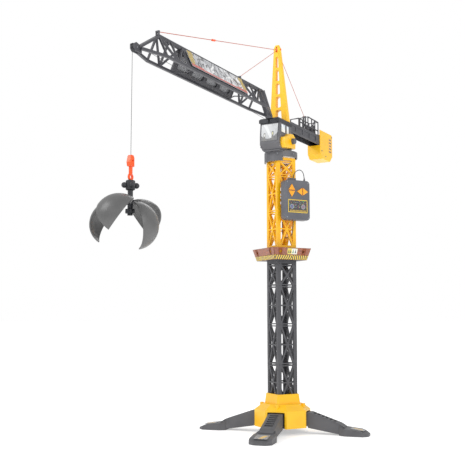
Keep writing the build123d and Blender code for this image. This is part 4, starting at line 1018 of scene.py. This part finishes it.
@dataclass
class Cab:
    """The turntable, the cab with its printed windows, the winch and the peak."""

    front: float = 67.0
    half_width: float = 27.5
    lean: float = math.atan2(6.0, 50.0)

    def dress(self) -> None:
        """Gives the CAD pieces of the cab their finishes."""
        dress(CAB_ABS, "turntable_housing", "cab_shell")
        dress(DARK_ABS, "cab_roof", "cab_windows")
        dress(YELLOW_ABS, "winch_cover", "tower_peak")
        dress(HANDSET_ABS, "winch_knob")
        dress(ACETAL, "winch_drum")
        dress(STEEL, "motors", "pulley_axle", "ballast")
        dress(ORANGE_ABS, "peak_pin")

    def windows(self) -> None:
        """Sticks the printed glass on the panes."""
        low, high = 734.3, 778.7
        corners = []
        for y, z in ((-23.3, low), (23.3, low), (23.3, high), (-23.3, high)):
            x = self.front - (z - 732.0) * math.tan(self.lean) + 0.35
            corners.append(Vector((x, y, z)) * MM)
        stick("windscreen_print", corners, WindscreenPrint("label_windscreen"), "turntable")
        glass = SideGlassPrint("label_side_glass")
        for side, name in ((1, "near"), (-1, "far")):
            y = side * (self.half_width + 0.02)
            for i, (x0, x1) in enumerate(((28.5, 53.5), (8.5, 22.5))):
                ends = (x1, x0) if side > 0 else (x0, x1)
                corners = [Vector((x, y, z)) * MM for x, z in rectangle(ends, (757.5, 779.5))]
                stick(f"side_glass_{name}_{i + 1}", corners, glass, "turntable")

    def screws(self) -> None:
        """Sets the cover and housing screws."""
        row = FittingRow("cab_screws", Fitting.SCREW, 2.0 * MM, 0.7 * MM, STEEL, "turntable", "steel")
        for x, z in ((-3.0, 724.0), (60.0, 721.0), (60.0, 748.0)):
            for side in (-1, 1):
                row.places.append((Vector((x, side * self.half_width, z)) * MM, Vector((0, side, 0))))
        for degrees in range(15, 375, 60):
            angle = math.radians(degrees)
            out = Vector((math.cos(angle), math.sin(angle), 0))
            row.places.append((out * 42.9 * MM + Vector((0, 0, 0.706)), out))
        row.build()

    def build(self) -> None:
        """Builds everything on the cab."""
        self.dress()
        self.windows()
        self.screws()


@dataclass
class Boom:
    """The lattice boom with its signs, tie cords and tip wheel."""

    chord_y: float = 25.0
    chord_z: float = 806.0
    ridge_z: float = 852.0
    sign_start: float = 228.0
    sign_end: float = 468.0
    plate_height: float = 42.0
    offset: float = 5.38
    cord_x: float = 638.2
    cord_top: float = 806.0
    cord_bottom: float = 594.05
    cord_radius: float = 0.45

    def dress(self) -> None:
        """Gives the CAD pieces of the boom their finishes."""
        dress(BOOM_ABS, "boom_ridge", "boom_side_near", "boom_side_far")
        dress(MouldedPlastic("polystyrene_sheet_grey", "a7a8ab", "9c9da0", 0.45), "boom_signs")
        dress(DARK_ABS, "tip_pulley")
        dress(TIE_CORD, "pendants")
        dress(ORANGE_ABS, "pendant_link")
        dress(HOIST_CORD, "hoist_run")

    def signs(self) -> None:
        """Sticks the long print on both slanted sides."""
        for side, name in ((1, "near"), (-1, "far")):
            normal = Vector((0, side * (self.ridge_z - self.chord_z), self.chord_y - 3)).normalized()
            up = Vector((0, -side * (self.chord_y - 3), self.ridge_z - self.chord_z)).normalized()
            centre_x = (self.sign_start + self.sign_end) / 2
            middle = Vector((centre_x, side * (self.chord_y + 3) / 2, (self.chord_z + self.ridge_z) / 2))
            middle += normal * (self.offset + 0.03)
            half = (self.sign_end - self.sign_start) / 2 - 0.6
            tall = self.plate_height / 2 - 0.6
            ends = (half, -half) if side > 0 else (-half, half)
            corners = [(middle + Vector((x, 0, 0)) + up * h) * MM for x, h in rectangle(ends, (-tall, tall))]
            print_finish = BoomSignPrint(f"label_boom_sign_{name}")
            stick(f"boom_sign_print_{name}", corners, print_finish, "turntable")

    def hoist_line(self) -> None:
        """Hangs the hoist cord as a plain tube from the tip down to the hook."""
        x, top, bottom = self.cord_x, self.cord_top, self.cord_bottom
        profile = ((bottom, self.cord_radius), (top, self.cord_radius))
        mesh = turned_mesh("hoist_line", Vector((x, 0, 0)) * MM, profile, 12)
        mesh.materials.append(SHELF.get(HOIST_CORD))
        line = bpy.data.objects.new("hoist_line", mesh)
        bpy.context.scene.collection.objects.link(line)
        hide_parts("hoist_cord")
        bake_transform(line)
        LOG.info("piece hoist_line between turntable and hook")

    def rivets(self) -> None:
        """Sets rivets along the top chord."""
        row = FittingRow("boom_rivets", Fitting.RIVET, 1.5 * MM, 0.5 * MM, BOOM_ABS, "turntable", "grey_plastic")
        for i in range(16):
            x = 116.0 + 28.5 * i
            if abs(x - 221.0) > 8:
                row.places.append((Vector((x, 0, 856.5)) * MM, Vector((0, 0, 1))))
        row.build()

    def build(self) -> None:
        """Builds everything on the boom."""
        self.dress()
        self.signs()
        self.hoist_line()
        self.rivets()


@dataclass
class CounterJib:
    """The rear beam with its parapet and counterweight."""

    half_width: float = 21.0

    def build(self) -> None:
        """Builds everything on the counter-jib."""
        dress(BOOM_ABS, "counter_jib", "railings")
        dress(YELLOW_ABS, "counterweight_shell")
        louvre = LouvrePrint("label_counterweight_louvre")
        for side, name in ((1, "near"), (-1, "far")):
            y = side * (self.half_width + 0.02)
            ends = (-270.0, -294.0) if side > 0 else (-294.0, -270.0)
            corners = [Vector((x, y, z)) * MM for x, z in rectangle(ends, (762.0, 806.0))]
            stick(f"louvre_print_{name}", corners, louvre, "turntable")
        row = FittingRow("counterweight_screws", Fitting.SCREW, 2.2 * MM, 0.7 * MM, STEEL, "turntable", "steel")
        for x, z in ((-222.0, 760.0), (-294.0, 812.0), (-250.0, 748.0)):
            for side in (-1, 1):
                row.places.append((Vector((x, side * self.half_width, z)) * MM, Vector((0, side, 0))))
        row.build()


@dataclass
class Handset:
    """The wired handset clipped on the mast, with its cable."""

    centre: float = -15.0
    face: float = 57.4
    cable_diameter: float = 2.0

    def dress(self) -> None:
        """Gives the handset's CAD pieces their finishes."""
        dress(HANDSET_ABS, "handset_back", "handset_front", "battery_door")
        dress(BUTTON_ABS, "button_up", "button_down", "button_left", "button_right")
        dress(STEEL, "batteries")
        dress(BOARD, "handset_board")

    def panel(self) -> None:
        """Sticks the dial print in its bed."""
        half = 28.6
        spots = rectangle((self.centre + half, self.centre - half), (551.4, 584.6))
        corners = [stand_point((x, self.face + 0.02, z)) for x, z in spots]
        stick("dial_print", corners, DialPrint("label_dials"), "stand")

    def screws(self) -> None:
        """Sets the four corner screws in the handset's front."""
        row = FittingRow("handset_screws", Fitting.SCREW, 1.5 * MM, 0.3 * MM, STEEL, "stand", "steel")
        for x in (self.centre - 31, self.centre + 31):
            for z in (539.0, 629.0):
                row.places.append((stand_point((x, 57.9, z)), stand_point((0, 1, 0)).normalized()))
        row.build()

    def route(self) -> list[Vector]:
        """Lists the cable's route: over the arch, down behind the handset, into the hank and up.

        Returns:
            Control points in metres.
        """
        points: list[Point] = [(-46, 40, 635.2), (-46, 40, 656), (-36, 38, 668), (-22, 36, 662), (-17, 31, 647),
                               (-17, 31, 600), (-16.9, 31, 556), (-17, 31, 508), (-13, 24, 492), (-9, 4, 491),
                               (-8.5, -9, 500), (-8.5, -9, 545)]
        runs, reach, low, high = 7, 8.5, 567.0, 613.0
        for i in range(runs):
            side = -1 if i % 2 == 0 else 1
            depth = -9 + 3.0 * i
            start, end = (low, high) if i % 2 == 0 else (high, low)
            swing = 10.0 if end > start else -10.0
            x = side * reach
            points += [(x, depth, start), (x, depth, start + swing), (x, depth, end - swing), (x, depth + 0.7, end)]
        points += [(-8.5, 9.4, 634), (0, 0, 656), (0, 0, 680), (0, 0, 702)]
        return [stand_point(p) for p in points]

    def cable(self) -> None:
        route = self.route()
        curve = bpy.data.curves.new("handset_lead", "CURVE")
        curve.dimensions = "3D"
        curve.bevel_depth = self.cable_diameter / 2 * MM
        curve.bevel_resolution = 5
        curve.resolution_u = 10
        curve.use_fill_caps = True
        spline = curve.splines.new("NURBS")
        spline.points.add(len(route) - 1)
        for spot, place in zip(spline.points, route):
            spot.co = (*place, 1.0)
        spline.order_u = 3
        spline.use_endpoint_u = True
        lead = bpy.data.objects.new("handset_lead", curve)
        bpy.context.scene.collection.objects.link(lead)
        curve.materials.append(SHELF.get(CABLE_PVC))
        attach(lead, "stand")
        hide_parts("handset_cable", "cable_hank")
        tie = self.tie()
        self.relief()
        LOG.info("piece handset_lead on stand")

    def relief(self) -> bpy.types.Object:
        """Makes the ribbed, tapered sleeve where the cable leaves the handset.

        Returns:
            The sleeve.
        """
        profile = ((635.0, 3.1), (636.6, 3.1), (636.8, 2.3), (638.0, 2.3), (638.2, 2.7), (639.2, 2.6), (639.4, 2.0),
                   (640.6, 2.0), (640.8, 2.3), (641.8, 2.2), (642.0, 1.6), (646.0, 1.15))
        mesh = turned_mesh("cable_relief", stand_point((-46, 40, 0)), profile, 20)
        return finish_piece("cable_relief", mesh, CABLE_PVC, "stand")

    def tie(self) -> bpy.types.Object:
        """Makes the twist tie round the middle of the hank.

        Returns:
            The tie.
        """
        mesh = bpy.data.meshes.new("hank_tie")
        shape = bmesh.new()
        steps, width, depth = 32, 10.6, 11.2
        rings = []
        for i in range(steps):
            angle = 2 * math.pi * i / steps
            c, s = math.cos(angle), math.sin(angle)
            stretch = 1 / max(abs(c), abs(s)) ** 0.6
            ring = []
            for out, z in ((0.0, -2.0), (0.9, -2.0), (0.9, 2.0), (0.0, 2.0)):
                spot = ((width + out) * c * stretch, (depth + out) * s * stretch, 590.0 + z)
                ring.append(shape.verts.new(stand_point(spot)))
            rings.append(ring)
        for i in range(steps):
            a, b = rings[i], rings[(i + 1) % steps]
            for k in range(4):
                shape.faces.new((a[k], b[k], b[(k + 1) % 4], a[(k + 1) % 4]))
        bmesh.ops.recalc_face_normals(shape, faces=shape.faces)
        shape.to_mesh(mesh)
        shape.free()
        return finish_piece("hank_tie", mesh, DARK_ABS, "stand")

    def build(self) -> None:
        """Builds everything on the handset."""
        self.dress()
        self.panel()
        self.screws()
        self.cable()


@dataclass
class Grab:
    """The hook, the hub and the four shells."""

    def build(self) -> None:
        """Builds everything under the hoist cord."""
        dress(ORANGE_ABS, "hook_block", "hook")
        dress(DARK_ABS, "grab_hub", "grab_collar")
        dress(SHELL_PP, "petal_1", "petal_2", "petal_3", "petal_4")


# ------------------------------------------------------------------ studio


@dataclass
class Studio:
    """The pale floor, the soft lights and the camera."""

    eye: Point = (1.787, 0.884, 0.2946)
    heading: float = math.radians(-150.04)
    lens: float = 59.8
    pitch: float = math.radians(6.05)

    def floor(self) -> None:
        """Lays the floor."""
        mesh = bpy.data.meshes.new("studio_floor")
        shape = bmesh.new()
        bmesh.ops.create_circle(shape, cap_ends=True, segments=96, radius=30.0)
        shape.to_mesh(mesh)
        shape.free()
        ground = bpy.data.objects.new("studio_floor", mesh)
        bpy.context.scene.collection.objects.link(ground)
        mesh.materials.append(SHELF.get(StudioGround()))

    def lamp(self, name: str, place: Point, size: float, power: float) -> None:
        """Hangs one soft box that looks at the crane.

        Args:
            name: Name of the lamp.
            place: Where it hangs, in metres.
            size: Side of the box in metres.
            power: Power in watts.
        """
        data = bpy.data.lights.new(name, "AREA")
        data.shape = "SQUARE"
        data.size = size
        data.energy = power
        lamp = bpy.data.objects.new(name, data)
        bpy.context.scene.collection.objects.link(lamp)
        lamp.location = place
        aim = Vector((0.1, 0, 0.5)) - Vector(place)
        lamp.rotation_euler = aim.to_track_quat("-Z", "Y").to_euler()

    def world(self) -> None:
        """Fills the surround with even white light."""
        world = bpy.data.worlds.new("white_surround")
        bpy.context.scene.world = world
        world.use_nodes = True
        tree = world.node_tree
        back = tree.nodes["Background"]
        back.inputs[0].default_value = (1.0, 1.0, 1.0, 1.0)
        seen = tree.nodes.new("ShaderNodeLightPath").outputs["Is Camera Ray"]
        level = tree.nodes.new("ShaderNodeMapRange")
        tree.links.new(seen, level.inputs[0])
        level.inputs[3].default_value = 0.72
        level.inputs[4].default_value = 1.0
        tree.links.new(level.outputs[0], back.inputs[1])

    def camera(self) -> None:
        """Sets the camera at about a third of the crane's height, looking a little up."""
        data = bpy.data.cameras.new("view")
        data.lens = self.lens
        data.clip_end = 100.0
        camera = bpy.data.objects.new("view", data)
        bpy.context.scene.collection.objects.link(camera)
        camera.location = self.eye
        camera.rotation_euler = (math.pi / 2 + self.pitch, 0, self.heading - math.pi / 2)
        bpy.context.scene.camera = camera

    def build(self) -> None:
        """Sets up the studio."""
        self.floor()
        self.world()
        self.lamp("key_box", (2.2, -1.6, 2.4), 1.6, 30.0)
        self.lamp("fill_box", (1.4, 2.4, 1.6), 1.8, 20.0)
        self.lamp("rim_box", (-2.0, -1.0, 2.2), 1.4, 8.0)
        self.camera()
        bpy.context.scene.view_settings.view_transform = "Standard"


def main() -> None:
    """Builds the crane piece by piece, then the studio."""
    logging.basicConfig(level=logging.INFO, format="%(name)s: %(message)s")
    assemblies: Iterable = (Base(), Mast(), Walkway(), Cab(), Boom(), CounterJib(), Handset(), Grab(), Studio())
    for part in assemblies:
        part.build()
        LOG.info("finished %s", type(part).__name__)


if __name__ == "__main__":
    main()
